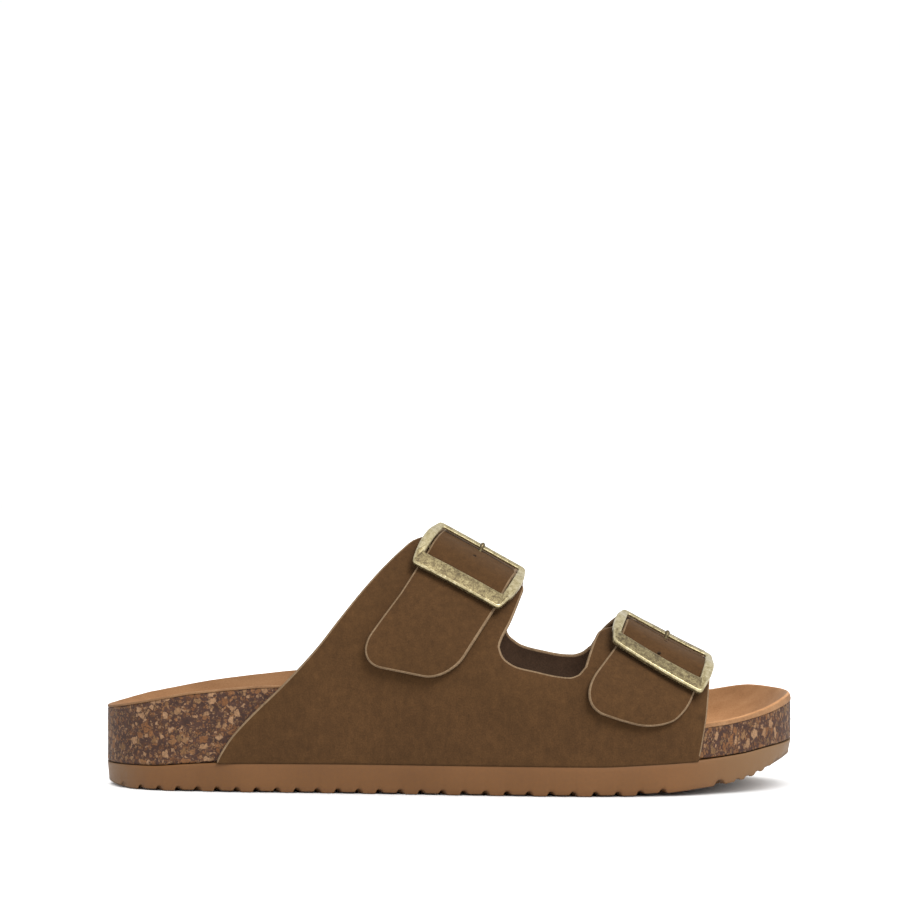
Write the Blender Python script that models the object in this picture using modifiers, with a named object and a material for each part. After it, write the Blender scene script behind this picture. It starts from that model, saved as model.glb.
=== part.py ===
"""Double-buckle sandal for the right foot, standing empty on its sole.

Pieces: foam outsole, cork footbed, suede insole, two-strap upper, two cast buckles, two prongs.
Metres, +Z up, toe towards +X, inner side of the foot towards +Y, buckles on the outer side (-Y).
Sizes below are in millimetres: a station runs from the back of the heel towards the toe, a height
is measured up from the floor.
"""
import math

import bmesh
import bpy
import numpy as np
from mathutils import Matrix

for old in list(bpy.data.objects):
    bpy.data.objects.remove(old, do_unlink=True)

MM = 0.001
LENGTH = 258.0          # heel back to toe tip
GAP = 0.35              # clearance between neighbouring pieces
WALL_GAP = 0.75         # clearance of the upper round the footbed's curved side
WALL = 2.0              # thickness of the nubuck
LINING = 0.9            # thickness of the suede insole
HEEL_CAP = 34.0         # length of the round heel end
TOE_CAP_OUTER = 88.0    # length of the toe rounding on the little-toe side
TOE_CAP_INNER = 58.0    # length of the toe rounding on the big-toe side
CAP_POWER = 2.3         # fullness of the toe rounding
TIP_Y = 8.0             # the toe tip lies towards the big toe
SPINE_BACK, SPINE_FRONT = 36.0, 212.0
PAD_RISE, PAD_STATION, PAD_LONG, PAD_WIDE = 2.0, 150.0, 17.0, 14.0   # metatarsal pad
TOE_BAR_RISE, TOE_BAR_STATION, TOE_BAR_LONG = 1.4, 213.0, 6.0        # bar behind the toes
SOLE_DRAFT = 0.6        # how far the sole tapers in towards the floor
SOLE_FLARE = 2.3        # how far the sole stands out under the upper
HEEL_ROUND_RISE, HEEL_ROUND_RUN = 2.9, 16.0
SPRING_START = 192.0
GROOVE_FIRST, GROOVE_PITCH, GROOVE_SPREAD, GROOVES = 8.7, 7.15, 0.0207, 31
GROOVE_RADIUS, GROOVE_SINK = 1.75, 0.65
SHORT_TOOTH = 0.8       # every second tread bar is this much shorter
WALL_SHARE = 0.35       # share of the half girth that is the upright wall
ARCH_POWER = 1.8        # 2 makes the instep an ellipse, less makes it more of a ridge


def table(columns, *rows):
    return {name: np.array([row[i] for row in rows], float) for i, name in enumerate(columns.split())}


PLAN = table("station outer inner",
             (0, 33.0, 32.0),
             (40, 34.5, 33.0),
             (70, 36.5, 33.5),
             (100, 39.5, 34.0),
             (130, 43.5, 36.5),
             (160, 47.0, 41.5),
             (185, 48.5, 45.5),
             (205, 48.5, 47.0),
             (258, 48.5, 47.0))

SOLE = table("station top",
             (0, 8.6),
             (20, 8.9),
             (32, 9.8),
             (48, 10.6),
             (65, 10.8),
             (105, 11.0),
             (186, 11.0),
             (201, 11.5),
             (219, 12.4),
             (238, 14.2),
             (249, 16.1),
             (258, 17.2))

# how far the sole lifts off the floor towards the toe
SPRING = table("station rise",
               (192, 0.0),
               (207, 0.7),
               (222, 2.3),
               (232, 3.4),
               (240, 5.0),
               (245.3, 6.9),
               (250.5, 9.6),
               (255.7, 12.8),
               (258, 13.6))

BED = table("station floor rim_outer rim_inner power_outer power_inner lip",
            (0, 20.5, 30.4, 30.4, 2.8, 2.8, 0.9),
            (18, 20.5, 34.0, 33.4, 2.8, 2.8, 0.9),
            (36, 20.5, 37.3, 36.6, 2.9, 2.8, 0.9),
            (69, 21.5, 39.9, 40.4, 3.2, 2.4, 0.9),
            (95, 23.0, 38.5, 42.0, 3.4, 2.0, 0.9),
            (125, 22.5, 33.8, 39.8, 3.8, 2.1, 0.9),
            (150, 20.5, 29.8, 33.0, 4.6, 3.2, 0.9),
            (180, 17.5, 25.9, 28.4, 6.0, 5.0, 1.1),
            (205, 17.5, 24.8, 28.9, 7.0, 6.0, 1.5),
            (230, 18.5, 26.6, 32.9, 7.0, 7.0, 1.1),
            (246, 19.5, 30.3, 35.5, 6.0, 6.5, 1.8),
            (258, 20.5, 35.1, 35.1, 5.5, 5.5, 2.8))

LAST = table("station shoulder_outer shoulder_inner crown_y crown_z",
             (30, 46.0, 48.0, 5.0, 142.4),
             (126, 42.0, 46.0, 8.0, 96.5),
             (158, 35.5, 39.0, 10.0, 81.2),
             (195, 28.6, 34.5, 13.0, 63.5),
             (215, 28.2, 36.0, 13.5, 53.9),
             (240, 30.0, 37.5, 14.0, 42.0))

# side-view lines of the upper's edges; cut_far is the front of the cut-out on the inner side
EDGES = table("height rear cut_rear cut_front cut_far front",
              (8, 44.3, 148.0, 179.5, 179.5, 219.8),
              (13, 46.6, 148.0, 179.5, 179.5, 220.7),
              (19, 50.4, 148.0, 179.5, 179.5, 221.8),
              (25, 55.6, 148.0, 179.5, 179.5, 222.8),
              (40, 70.9, 148.0, 179.8, 180.3, 225.0),
              (53, 82.9, 148.3, 183.2, 185.4, 226.4),
              (63, 90.7, 152.6, 188.9, 191.5, 227.3),
              (74, 99.6, 156.9, 194.5, 197.1, 228.0),
              (84, 108.8, 161.0, 200.0, 202.6, 229.0),
              (94, 120.0, 165.0, 205.0, 207.6, 230.0),
              (100, 127.8, 167.5, 208.0, 210.6, 231.0))

# bottom of the cut-out, and how much higher it lies on the inner side
CUT = table("share height lift",
            (0.00, 53.0, 4.1),
            (0.03, 50.4, 4.2),
            (0.08, 48.3, 4.0),
            (0.22, 45.7, 3.3),
            (0.43, 44.1, 2.9),
            (0.69, 42.3, 3.0),
            (0.83, 41.8, 3.2),
            (0.93, 42.7, 3.2),
            (1.00, 45.6, 3.0))

# height of the strap's underside over the last, by distance from the buckle's centre bar (up is +)
LIFT = table("along over",
             (-60, 4.4),
             (-45, 3.7),
             (-32, 3.0),
             (-20, 2.6),
             (-11, 2.5),
             (-6, 3.5),
             (0, 5.0),
             (5, 4.2),
             (9.3, 2.8),
             (13, 2.3),
             (17, 1.5),
             (22, 0.6),
             (28, 0.0),
             (60, 0.0))

# one row for each strap: where its centre line crosses the buckle's centre bar, how the strap leans
# back on its way down, how its bar is turned, its width, the height, slope and corners of its free
# end, how far the end's two edges drift back below the buckle, and how far it lies flat over the crown
STRAPS = {
    "rear": dict(station=136.57, height=79.55, lean=0.607, turn=0.211, width=31.2, end_height=45.15,
                 end_slope=-0.255, end_round=(7.1, 7.1), drift_height=70.9, drift=(0.128, 0.029), sag=(1.0, 3.0), columns=(0, 8)),
    "front": dict(station=206.75, height=47.98, lean=0.416, turn=0.442, width=31.2, end_height=27.3,
                  end_slope=-0.358, end_round=(9.2, 14.7), drift_height=50.4, drift=(0.426, 0.003), sag=(0.6, 1.5), columns=(18, 26)),
}
STUB_END = 17.5         # how far past the centre bar the outer quarter's strap stubs run
STUB_SHARE = 0.86       # width of a stub's end as a share of the strap over it

# buckle frame, measured along the strap from the centre bar and across it, at its own height
LEVEL = 6.5
FRAME_HALF = 18.0
FRAME_LOW, FRAME_HIGH = -14.3, 14.8
BAR_LOW, BAR_HIGH, BAR_SIDE = 5.8, 3.2, 2.0
FRAME_ROUND, FRAME_INNER_ROUND = 1.3, 0.8
FRAME_BULGE, FRAME_INNER_BULGE = 2.2, 1.2   # the side bars bow outwards
FRAME_UNDER, FRAME_TOP, FRAME_CHAMFER = 5.2, 7.8, 0.8
FRAME_THIN = 0.6        # the top bar is this much thinner than the rest
CENTRE_RADIUS, CENTRE_OVER = 0.8, 3.3
LUG_HALF = 1.6
# prong: wire hooked round the centre bar, up through the strap and down on the top bar
PRONG_RADIUS, PRONG_GAP = 0.6, 0.3
HOOK_RADIUS = 1.85
PRONG = table("along over swell",
              (1.2, 4.95, 1.0),
              (2.8, 4.55, 1.0),
              (4.6, 4.0, 1.0),
              (6.4, 3.6, 1.0),
              (8.2, 3.5, 1.0),
              (9.6, 3.9, 1.0),
              (10.5, 4.9, 1.0),
              (11.0, 6.1, 1.0),
              (11.6, 7.2, 1.2),
              (13.0, 7.9, 1.9),
              (14.8, 7.8, 2.2),
              (16.2, 7.4, 1.9))


# ---------------------------------------------------------------- curves and the last
def smooth(xs, ys, x):
    """Monotone cubic through a table's column; straight on beyond its ends."""
    x = np.asarray(x, float)
    h = np.diff(xs)
    d = np.diff(ys) / h
    m = np.zeros(len(xs))
    inner = d[:-1] * d[1:] > 0
    m[1:-1][inner] = 2 * d[:-1][inner] * d[1:][inner] / (d[:-1][inner] + d[1:][inner])
    m[0], m[-1] = d[0], d[-1]
    i = np.clip(np.searchsorted(xs, x) - 1, 0, len(xs) - 2)
    t = (x - xs[i]) / h[i]
    c = np.clip(t, 0, 1)
    y = ((1 + 2 * c) * (1 - c) ** 2 * ys[i] + c * (1 - c) ** 2 * h[i] * m[i]
         + c * c * (3 - 2 * c) * ys[i + 1] + c * c * (c - 1) * h[i] * m[i + 1])
    return y + np.where(t < 0, t * h[i] * m[i], 0) + np.where(t > 1, (t - 1) * h[i] * m[i + 1], 0)


def col(tab, name, x):
    return smooth(next(iter(tab.values())), tab[name], x)


def step(lo, hi, x):
    t = np.clip((np.asarray(x, float) - lo) / (hi - lo), 0, 1)
    return t * t * (3 - 2 * t)


def outline(s, side):
    """Plan outline of the footbed: y at a station, side -1 outer and +1 inner."""
    s = np.clip(np.asarray(s, float), 0, LENGTH)
    full = np.where(side < 0, -col(PLAN, "outer", s), col(PLAN, "inner", s))
    heel = np.sqrt(np.clip(1 - np.clip(1 - s / HEEL_CAP, 0, 1) ** 2, 0, 1))
    run = np.where(side < 0, TOE_CAP_OUTER, TOE_CAP_INNER)
    toe = np.clip(1 - np.clip((s - LENGTH + run) / run, 0, 1) ** CAP_POWER, 0, 1) ** (1 / CAP_POWER)
    base = np.where(s < 0.5 * LENGTH, 0.0, TIP_Y)
    return base + (full - base) * heel * toe


def sole_top(s):
    return col(SOLE, "top", s)


def sole_bottom(s):
    s = np.asarray(s, float)
    heel = HEEL_ROUND_RISE * np.clip(1 - s / HEEL_ROUND_RUN, 0, 1) ** 2.2
    toe = np.where(s > SPRING_START, col(SPRING, "rise", np.clip(s, SPRING_START, LENGTH)), 0.0)
    return heel + toe


def sole_flare(s):
    return SOLE_FLARE * step(34, 54, s) * (1 - step(216, 236, s))


def last(s, girth):
    """Inner surface of the upper: girth 0 outer foot, 1 crown, 2 inner foot."""
    s, girth = np.broadcast_arrays(np.asarray(s, float), np.asarray(girth, float))
    side = np.where(girth <= 1, -1.0, 1.0)
    g = np.where(girth <= 1, girth, 2 - girth)
    wall = outline(s, side) + side * WALL_GAP
    foot = sole_top(s) + GAP
    shoulder = np.where(side < 0, col(LAST, "shoulder_outer", s), col(LAST, "shoulder_inner", s))
    cy, cz = col(LAST, "crown_y", s), col(LAST, "crown_z", s)
    turn = np.clip((g - WALL_SHARE) / (1 - WALL_SHARE), 0, 1) * math.pi / 2
    low = g < WALL_SHARE
    y = np.where(low, wall, cy + (wall - cy) * np.clip(np.cos(turn), 0, 1) ** (2 / ARCH_POWER))
    z = np.where(low, foot + (shoulder - foot) * g / WALL_SHARE,
                 shoulder + (cz - shoulder) * np.clip(np.sin(turn), 0, 1) ** (2 / ARCH_POWER))
    return np.stack([s, y, z], -1)


def last_normal(s, girth):
    d = 0.4
    ds = last(s + d, girth) - last(s - d, girth)
    dg = last(s, np.clip(girth + 0.012, 0, 2)) - last(s, np.clip(girth - 0.012, 0, 2))
    n = np.cross(ds, dg)
    return n / np.linalg.norm(n, axis=-1, keepdims=True)


def girth_at(s, z):
    """Girth share on the outer side at a station and a height."""
    foot = sole_top(s) + GAP
    shoulder, cz = col(LAST, "shoulder_outer", s), col(LAST, "crown_z", s)
    low = WALL_SHARE * (z - foot) / (shoulder - foot)
    high = WALL_SHARE + (1 - WALL_SHARE) * np.arcsin(np.clip((z - shoulder) / (cz - shoulder), 0, 1) ** (ARCH_POWER / 2)) * 2 / math.pi
    return np.where(z < shoulder, low, high)


def girth_at_inner(s, z):
    foot = sole_top(s) + GAP
    shoulder, cz = col(LAST, "shoulder_inner", s), col(LAST, "crown_z", s)
    low = WALL_SHARE * (z - foot) / (shoulder - foot)
    high = WALL_SHARE + (1 - WALL_SHARE) * np.arcsin(np.clip((z - shoulder) / (cz - shoulder), 0, 1) ** (ARCH_POWER / 2)) * 2 / math.pi
    return 2 - np.where(z < shoulder, low, high)


def station_on(girth, line, guess):
    """Station where a line x(z) of the side view meets the last at a girth share."""
    s = np.broadcast_to(np.asarray(guess, float), np.shape(girth)).copy()
    for _ in range(60):
        new = 0.4 * s + 0.6 * line(last(s, girth)[..., 2])
        moved = np.max(np.abs(new - s))
        s = new
        if moved < 1e-5:
            break
    return s


# ---------------------------------------------------------------- mesh helpers
parts = bpy.data.collections.new("double_buckle_sandal")
cutters = bpy.data.collections.new("cutters")
for c in (parts, cutters):
    bpy.context.scene.collection.children.link(c)


def material(name, colour, roughness, metallic=0.0):
    mat = bpy.data.materials.new(name)
    mat.use_nodes = True
    shader = next(n for n in mat.node_tree.nodes if n.type == "BSDF_PRINCIPLED")
    shader.inputs["Base Color"].default_value = (*colour, 1.0)
    shader.inputs["Roughness"].default_value = roughness
    shader.inputs["Metallic"].default_value = metallic
    mat.diffuse_color = (*colour, 1.0)
    return mat


def link(name, bm, mat=None, cutter=False):
    bmesh.ops.remove_doubles(bm, verts=bm.verts, dist=1e-6)
    me = bpy.data.meshes.new(name)
    bm.to_mesh(me)
    bm.free()
    ob = bpy.data.objects.new(name, me)
    (cutters if cutter else parts).objects.link(ob)
    if mat:
        me.materials.append(mat)
    if cutter:
        ob.hide_render = True
        ob.display_type = "WIRE"
    return ob


def boolean(ob, other, operation):
    m = ob.modifiers.new(operation.lower() + "_" + other.name, "BOOLEAN")
    m.operation = operation
    m.solver = "EXACT"
    m.object = other


def rings_body(rings, closed=False):
    """Closed body through rings of points; the first and last rings may close up on a line."""
    bm = bmesh.new()
    rows = [[bm.verts.new([c * MM for c in p]) for p in ring] for ring in rings]
    pairs = list(zip(rows, rows[1:] + rows[:1])) if closed else list(zip(rows, rows[1:]))
    for a, b in pairs:
        for i in range(len(a)):
            k = (i + 1) % len(a)
            bm.faces.new((a[i], a[k], b[k], b[i]))
    bmesh.ops.remove_doubles(bm, verts=bm.verts, dist=1e-6)
    bmesh.ops.dissolve_degenerate(bm, dist=1e-7, edges=bm.edges)
    bmesh.ops.triangulate(bm, faces=bm.faces, quad_method="SHORT_EDGE")   # stacked pieces fold alike
    bmesh.ops.recalc_face_normals(bm, faces=bm.faces)
    if bm.calc_volume(signed=True) < 0:
        bmesh.ops.reverse_faces(bm, faces=bm.faces)
    return bm


# ---------------------------------------------------------------- sole, footbed and insole
def stations():
    heel = HEEL_CAP * (1 - np.cos(np.linspace(0, math.pi / 2, 8)))
    middle = np.linspace(HEEL_CAP, LENGTH - TOE_CAP_INNER, 12)
    toe = LENGTH - TOE_CAP_INNER * (1 - np.sin(np.linspace(0, math.pi / 2, 11)))
    return np.concatenate([heel[:-1], middle[:-1], toe])


ROW = stations()
LOOP_S = np.concatenate([ROW, ROW[-2:0:-1]])
LOOP_SIDE = np.concatenate([-np.ones(len(ROW)), np.ones(len(ROW) - 2)])


def ring(r, grow=0.0):
    """Plan points of a ring: r 0 on the spine, 1 on the outline."""
    y = outline(LOOP_S, LOOP_SIDE)
    cs = np.clip(LOOP_S, SPINE_BACK, SPINE_FRONT)
    cy = 0.5 * (outline(cs, -1) + outline(cs, 1))
    out = np.stack([LOOP_S - cs, y + LOOP_SIDE * (sole_flare(LOOP_S) if grow == "flare" else 0) - cy], -1)
    return cs + r * out[:, 0], cy + r * out[:, 1]


def bed_height(r, x, y):
    floor = (col(BED, "floor", x)
             + PAD_RISE * np.exp(-((x - PAD_STATION) / PAD_LONG) ** 2 - (y / PAD_WIDE) ** 2)
             + TOE_BAR_RISE * np.exp(-((x - TOE_BAR_STATION + 0.25 * y) / TOE_BAR_LONG) ** 2))
    rim = np.where(LOOP_SIDE < 0, col(BED, "rim_outer", LOOP_S), col(BED, "rim_inner", LOOP_S))
    power = np.where(LOOP_SIDE < 0, col(BED, "power_outer", LOOP_S), col(BED, "power_inner", LOOP_S))
    rise = np.clip(r / 0.975, 0, 1) ** power
    return floor + (rim - floor) * rise - (0.4 if r > 0.99 else 0.0)


BED_RINGS = (0.0, 0.3, 0.55, 0.72, 0.84, 0.92, 0.975, 1.0)


def bed_rings(drop, lip_drop):
    out = []
    for r in BED_RINGS:
        x, y = ring(r)
        extra = lip_drop * step(0.94, 1.0, r) * (col(BED, "lip", LOOP_S) - LINING)
        out.append(np.stack([x, y, bed_height(r, x, y) - drop - extra], -1))
    return out


def flat_rings(height, grow=0.0, draft=0.0):
    out = []
    for r in (1.0, 0.66, 0.33, 0.0):
        x, y = ring(r * (1 - draft / 45.0), grow)
        out.append(np.stack([x, y, height(x)], -1))
    return out


suede = material("insole_suede", (0.40, 0.22, 0.11), 0.85)
cork = material("cork", (0.20, 0.11, 0.07), 0.8)
foam = material("outsole_foam", (0.24, 0.12, 0.05), 0.7)
nubuck = material("nubuck", (0.125, 0.065, 0.03), 0.9)
brass = material("antique_brass", (0.45, 0.36, 0.20), 0.38, 1.0)

insole = link("insole", rings_body(bed_rings(0, 0) + bed_rings(LINING, 1)[::-1]), suede)
bed_top = [r - np.array([0, 0, GAP]) for r in bed_rings(LINING, 1)]
footbed = link("footbed", rings_body(bed_top + flat_rings(lambda x: sole_top(x) + GAP)), cork)

outsole = link("outsole", rings_body(flat_rings(sole_top, "flare")[::-1]
                                     + flat_rings(sole_bottom, "flare", SOLE_DRAFT)), foam)


def groove_station(k):
    return GROOVE_FIRST + GROOVE_PITCH * k + GROOVE_SPREAD * k * k


bm = bmesh.new()
for k in range(GROOVES):
    made = bmesh.ops.create_cone(bm, cap_ends=True, segments=10, radius1=GROOVE_RADIUS * MM,
                                 radius2=GROOVE_RADIUS * MM, depth=130 * MM)
    s = groove_station(k)
    bmesh.ops.rotate(bm, verts=made["verts"], cent=(0, 0, 0),
                     matrix=Matrix.Rotation(math.pi / 2, 3, "X"))
    bmesh.ops.translate(bm, verts=made["verts"],
                        vec=(s * MM, 0, (float(sole_bottom(s)) + GROOVE_SINK) * MM))
grooves = link("groove_cutter", bm, cutter=True)

bm = bmesh.new()
for k in range(1, GROOVES - 1, 2):
    lo, hi = groove_station(k), groove_station(k + 1)
    made = bmesh.ops.create_cube(bm, size=1.0)
    for v in made["verts"]:
        s = hi if v.co.x > 0 else lo
        up = float(sole_bottom(s)) + (SHORT_TOOTH if v.co.z > 0 else -4.0)
        v.co = (s * MM, v.co.y * 130 * MM, up * MM)
teeth = link("tooth_cutter", bm, cutter=True)
boolean(outsole, grooves, "DIFFERENCE")
boolean(outsole, teeth, "DIFFERENCE")


# ---------------------------------------------------------------- upper
COLUMNS = 26
CUT_REAR, CUT_FRONT = 8, 18
QUARTER_ROWS = 6


def edge_line(name):
    return lambda z: col(EDGES, name, z)


def column_line(j, fore="cut_front"):
    """Side-view line x(z) of a pattern column, 0 at the rear edge and 26 at the front edge."""
    if j <= CUT_REAR:
        a, b, t = "rear", "cut_rear", j / CUT_REAR
    elif j <= CUT_FRONT:
        a, b, t = "cut_rear", fore, (j - CUT_REAR) / (CUT_FRONT - CUT_REAR)
        t = t ** 1.6 if t < 0.5 else t      # closer columns where the cut-out turns
        t = t if t >= 0.5 else t / 0.5 ** 1.6 * 0.5
    else:
        a, b, t = fore, "front", (j - CUT_FRONT) / (COLUMNS - CUT_FRONT)
    return lambda z: (1 - t) * col(EDGES, a, z) + t * col(EDGES, b, z)


def column_share(j):
    t = (j - CUT_REAR) / (CUT_FRONT - CUT_REAR)
    return t if t >= 0.5 else t ** 1.6 / 0.5 ** 1.6 * 0.5


def quarter_top(j):
    """Height of the line along the bottom of the cut-out, carried on across both straps."""
    if j <= CUT_REAR:
        return 44.0 + (CUT["height"][0] - 44.0) * j / CUT_REAR
    if j <= CUT_FRONT:
        return float(col(CUT, "height", column_share(j)))
    return CUT["height"][-1] + (38.0 - CUT["height"][-1]) * (j - CUT_FRONT) / (COLUMNS - CUT_FRONT)


def far_top(j):
    """The same line on the inner side."""
    return quarter_top(j) + float(col(CUT, "lift", np.clip(column_share(float(np.clip(j, CUT_REAR, CUT_FRONT))), 0, 1)))


def strap_line(strap, across):
    """Side-view line x(z) of a strap at a distance across it, rear to front."""
    lean = strap["lean"]
    back, fore = strap["drift"]
    share = np.clip(0.5 + across / strap["width"], 0, 1)
    drift = (1 - share) * back + share * fore
    return lambda z: (strap["station"] + across * math.sqrt(1 + lean * lean) + lean * (z - strap["height"])
                      - drift * np.clip(strap["drift_height"] - z, 0, None))


def bar_girth(strap):
    return float(girth_at(strap["station"], strap["height"]))


def along_table(strap, across):
    """Distance along the strap from its centre bar against girth share, at a distance across."""
    if "grid" not in strap:
        lanes, g = np.linspace(-22, 22, 23), np.linspace(0.12, 1.25, 160)
        both = np.broadcast_to(g, (len(lanes), len(g)))
        s = station_on(both, strap_line(strap, lanes[:, None]), strap["station"])
        hop = np.linalg.norm(np.diff(last(s, both) + last_normal(s, both) * LEVEL, axis=1), axis=2)
        run = np.concatenate([np.zeros((len(lanes), 1)), np.cumsum(hop, axis=1)], axis=1)
        zero = [np.interp(bar_girth(strap), g, row) for row in run]
        strap["grid"] = lanes, g, run - np.array(zero)[:, None] + strap["turn"] * lanes[:, None]
    lanes, g, run = strap["grid"]
    i = int(np.clip(np.searchsorted(lanes, across) - 1, 0, len(lanes) - 2))
    t = (across - lanes[i]) / (lanes[i + 1] - lanes[i])
    return (1 - t) * run[i] + t * run[i + 1], g


def on_strap(strap, across, along, over):
    """Points over the strap: across it, along it from the centre bar, and above the last."""
    across, along, over = (np.asarray(v, float) for v in np.broadcast_arrays(across, along, over))
    girth = np.array([np.interp(b, *along_table(strap, a)) for a, b in zip(across, along)])
    s = station_on(girth, strap_line(strap, across), strap["station"])
    return last(s, girth) + last_normal(s, girth) * over[:, None]


def shell_body(points, faces):
    bm = bmesh.new()
    verts = {key: bm.verts.new([c * MM for c in p]) for key, p in points.items()}
    for f in faces:
        bm.faces.new([verts[k] for k in f])
    return bm


def thicken(ob):
    m = ob.modifiers.new("wall", "SOLIDIFY")
    m.thickness = WALL * MM
    m.offset = -1.0
    m.use_even_offset = True


def put(points, j, rows, line, girths, guess, over=0.0):
    """Column of outer-face points: along a side-view line, at girth shares, lifted over the last."""
    girths = np.asarray(girths, float)
    s = station_on(girths, line, guess)
    lift = np.broadcast_to(np.asarray(over, float) + WALL, girths.shape)
    for i, p in zip(rows, last(s, girths) + last_normal(s, girths) * lift[:, None]):
        points[(j, i)] = p


# outer quarter: from the sole up to the cut-out, with the two strap stubs that end under the buckles
outer, outer_faces = {}, []
for j in range(COLUMNS + 1):
    line = column_line(j)
    z_top = quarter_top(j)
    s_top = float(line(z_top))
    g_top = float(girth_at(s_top, z_top))
    put(outer, j, range(QUARTER_ROWS + 1), line, np.linspace(0, g_top, QUARTER_ROWS + 1), s_top)
STUB_ROWS = 8
for strap in STRAPS.values():
    lo, hi = strap["columns"]
    mid = bar_girth(strap)
    for j in range(lo, hi + 1):
        f = 2 * (j - lo) / (hi - lo) - 1
        run, gs = along_table(strap, f * strap["width"] / 2)
        g_end = float(np.interp(STUB_END, run, gs))
        z_top = quarter_top(j)
        pattern = column_line(j)
        under = strap_line(strap, f * STUB_SHARE * strap["width"] / 2)
        g_top = float(girth_at(float(pattern(z_top)), z_top))
        g = np.linspace(g_top, g_end, STUB_ROWS + 1)[1:]
        w = step(mid + 0.02, g_end, g)
        put(outer, j, range(QUARTER_ROWS + 1, QUARTER_ROWS + STUB_ROWS + 1),
            lambda z: (1 - w) * pattern(z) + w * under(z), g, strap["station"])
for j in range(COLUMNS):
    strapped = j < CUT_REAR or j >= CUT_FRONT
    for i in range(QUARTER_ROWS + (STUB_ROWS if strapped else 0)):
        outer_faces.append([(j, i), (j + 1, i), (j + 1, i + 1), (j, i + 1)])
upper = link("upper", shell_body(outer, outer_faces), nubuck)
thicken(upper)

# inner quarter with the two straps that cross the instep, pass through the buckles and end in flaps
def w_far(girth):
    """How far a point is on its way down the inner side, 0 at the crown and 1 at the wall."""
    return step(1.02, 1.5, girth)


FLAP_ROWS = (0.0, 0.06, 0.16, 0.3, 0.5, 0.75)
NEAR_ROWS = (-15, -11.5, -8.5, -6, -3.5, -1.5, 0, 1.5, 3.5, 6, 8.5, 11.5, 15, 19, 24)
OVER_ROWS = 9
inner, inner_faces = {}, []
for j in range(COLUMNS + 1):
    line = column_line(j, "cut_far")
    z_top = far_top(j)
    s_top = float(line(z_top))
    g_top = float(girth_at_inner(s_top, z_top))
    put(inner, j, range(QUARTER_ROWS + 1), line, np.linspace(2, g_top, QUARTER_ROWS + 1), s_top)
for strap in STRAPS.values():
    lo, hi = strap["columns"]
    half = strap["width"] / 2
    rows_total = len(FLAP_ROWS) + len(NEAR_ROWS) + OVER_ROWS
    for j in range(lo, hi + 1):
        f = 2 * (j - lo) / (hi - lo) - 1
        f = math.copysign(1 - (1 - abs(f)) ** 1.7, f)      # closer columns at the strap's edges
        flap = strap_line(strap, f * half)
        pattern = column_line(j, "cut_far")
        run, gs = along_table(strap, f * half)
        # free end with rounded corners
        z_end = strap["end_height"]
        for _ in range(30):
            s_end = float(flap(z_end))
            z_end = 0.5 * z_end + 0.5 * (strap["end_height"]
                                         + strap["end_slope"] * (s_end - float(strap_line(strap, 0)(strap["end_height"]))))
        corner = strap["end_round"][0 if f < 0 else 1]
        reach = max(0.0, abs(f) * half - (half - corner))
        z_end += corner - math.sqrt(max(corner ** 2 - reach ** 2, 0.0))
        a_end = float(np.interp(float(girth_at(float(flap(z_end)), z_end)), gs, run))
        along = [a_end + (NEAR_ROWS[0] - a_end) * t for t in FLAP_ROWS] + list(NEAR_ROWS)
        girths = list(np.interp(along, run, gs))
        g_near = girths[-1]
        z_top = far_top(j)
        g_top = float(girth_at_inner(float(pattern(z_top)), z_top))
        girths += [g_near + (g_top - g_near) * t / OVER_ROWS for t in range(1, OVER_ROWS)]
        spread = [0.0] * len(along) + [float(step(0.0, 0.62, t / OVER_ROWS)) for t in range(1, OVER_ROWS)]
        over = list(col(LIFT, "over", along)) + [0.0] * (OVER_ROWS - 1)
        beyond = np.interp(girths, gs, run)
        sag = strap["sag"][0] + (strap["sag"][1] - strap["sag"][0]) * (0.5 + 0.5 * f)
        over = np.array(over) - sag * step(9, 33, beyond) * (1 - w_far(np.array(girths)))
        w = np.array(spread)
        put(inner, j, range(QUARTER_ROWS + len(girths), QUARTER_ROWS, -1),
            lambda z: (1 - w) * flap(z) + w * pattern(z), girths, strap["station"], over)
    strap["rows"] = len(girths)
for j in range(COLUMNS):
    rows = QUARTER_ROWS
    for strap in STRAPS.values():
        if strap["columns"][0] <= j < strap["columns"][1]:
            rows += strap["rows"]
    for i in range(rows):
        inner_faces.append([(j, i + 1), (j + 1, i + 1), (j + 1, i), (j, i)])
straps = link("strap_layer", shell_body(inner, inner_faces), nubuck, cutter=True)
thicken(straps)
boolean(upper, straps, "UNION")


# ---------------------------------------------------------------- buckles and prongs
def rounded_rectangle(a0, a1, b0, b1, radius):
    """Loop of (across, along) points with rounded corners and cuts along each side."""
    pts = []
    corners = ((a1, b1, 0), (a0, b1, 90), (a0, b0, 180), (a1, b0, 270))
    cuts = (6, 4, 6, 4)
    for n, (ca, cb, start) in enumerate(corners):
        ca -= radius * (1 if ca == a1 else -1)
        cb -= radius * (1 if cb == b1 else -1)
        arc = [(ca + radius * math.cos(math.radians(start + t)), cb + radius * math.sin(math.radians(start + t)))
               for t in (0, 30, 60, 90)]
        pts += arc
        na, nb, nstart = corners[(n + 1) % 4]
        na -= radius * (1 if na == a1 else -1)
        nb -= radius * (1 if nb == b1 else -1)
        head = (na + radius * math.cos(math.radians(nstart)), nb + radius * math.sin(math.radians(nstart)))
        tail = arc[-1]
        pts += [(tail[0] + (head[0] - tail[0]) * t / cuts[n], tail[1] + (head[1] - tail[1]) * t / cuts[n])
                for t in range(1, cuts[n])]
    return pts


def barrel(loop, bulge):
    """Bows the loop's two short sides outwards."""
    middle, half = 0.5 * (FRAME_LOW + FRAME_HIGH), 0.5 * (FRAME_HIGH - FRAME_LOW)
    return [(a + math.copysign(bulge * (abs(a) / FRAME_HALF) ** 4 * (1 - ((b - middle) / half) ** 2), a), b)
            for a, b in loop]


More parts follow.
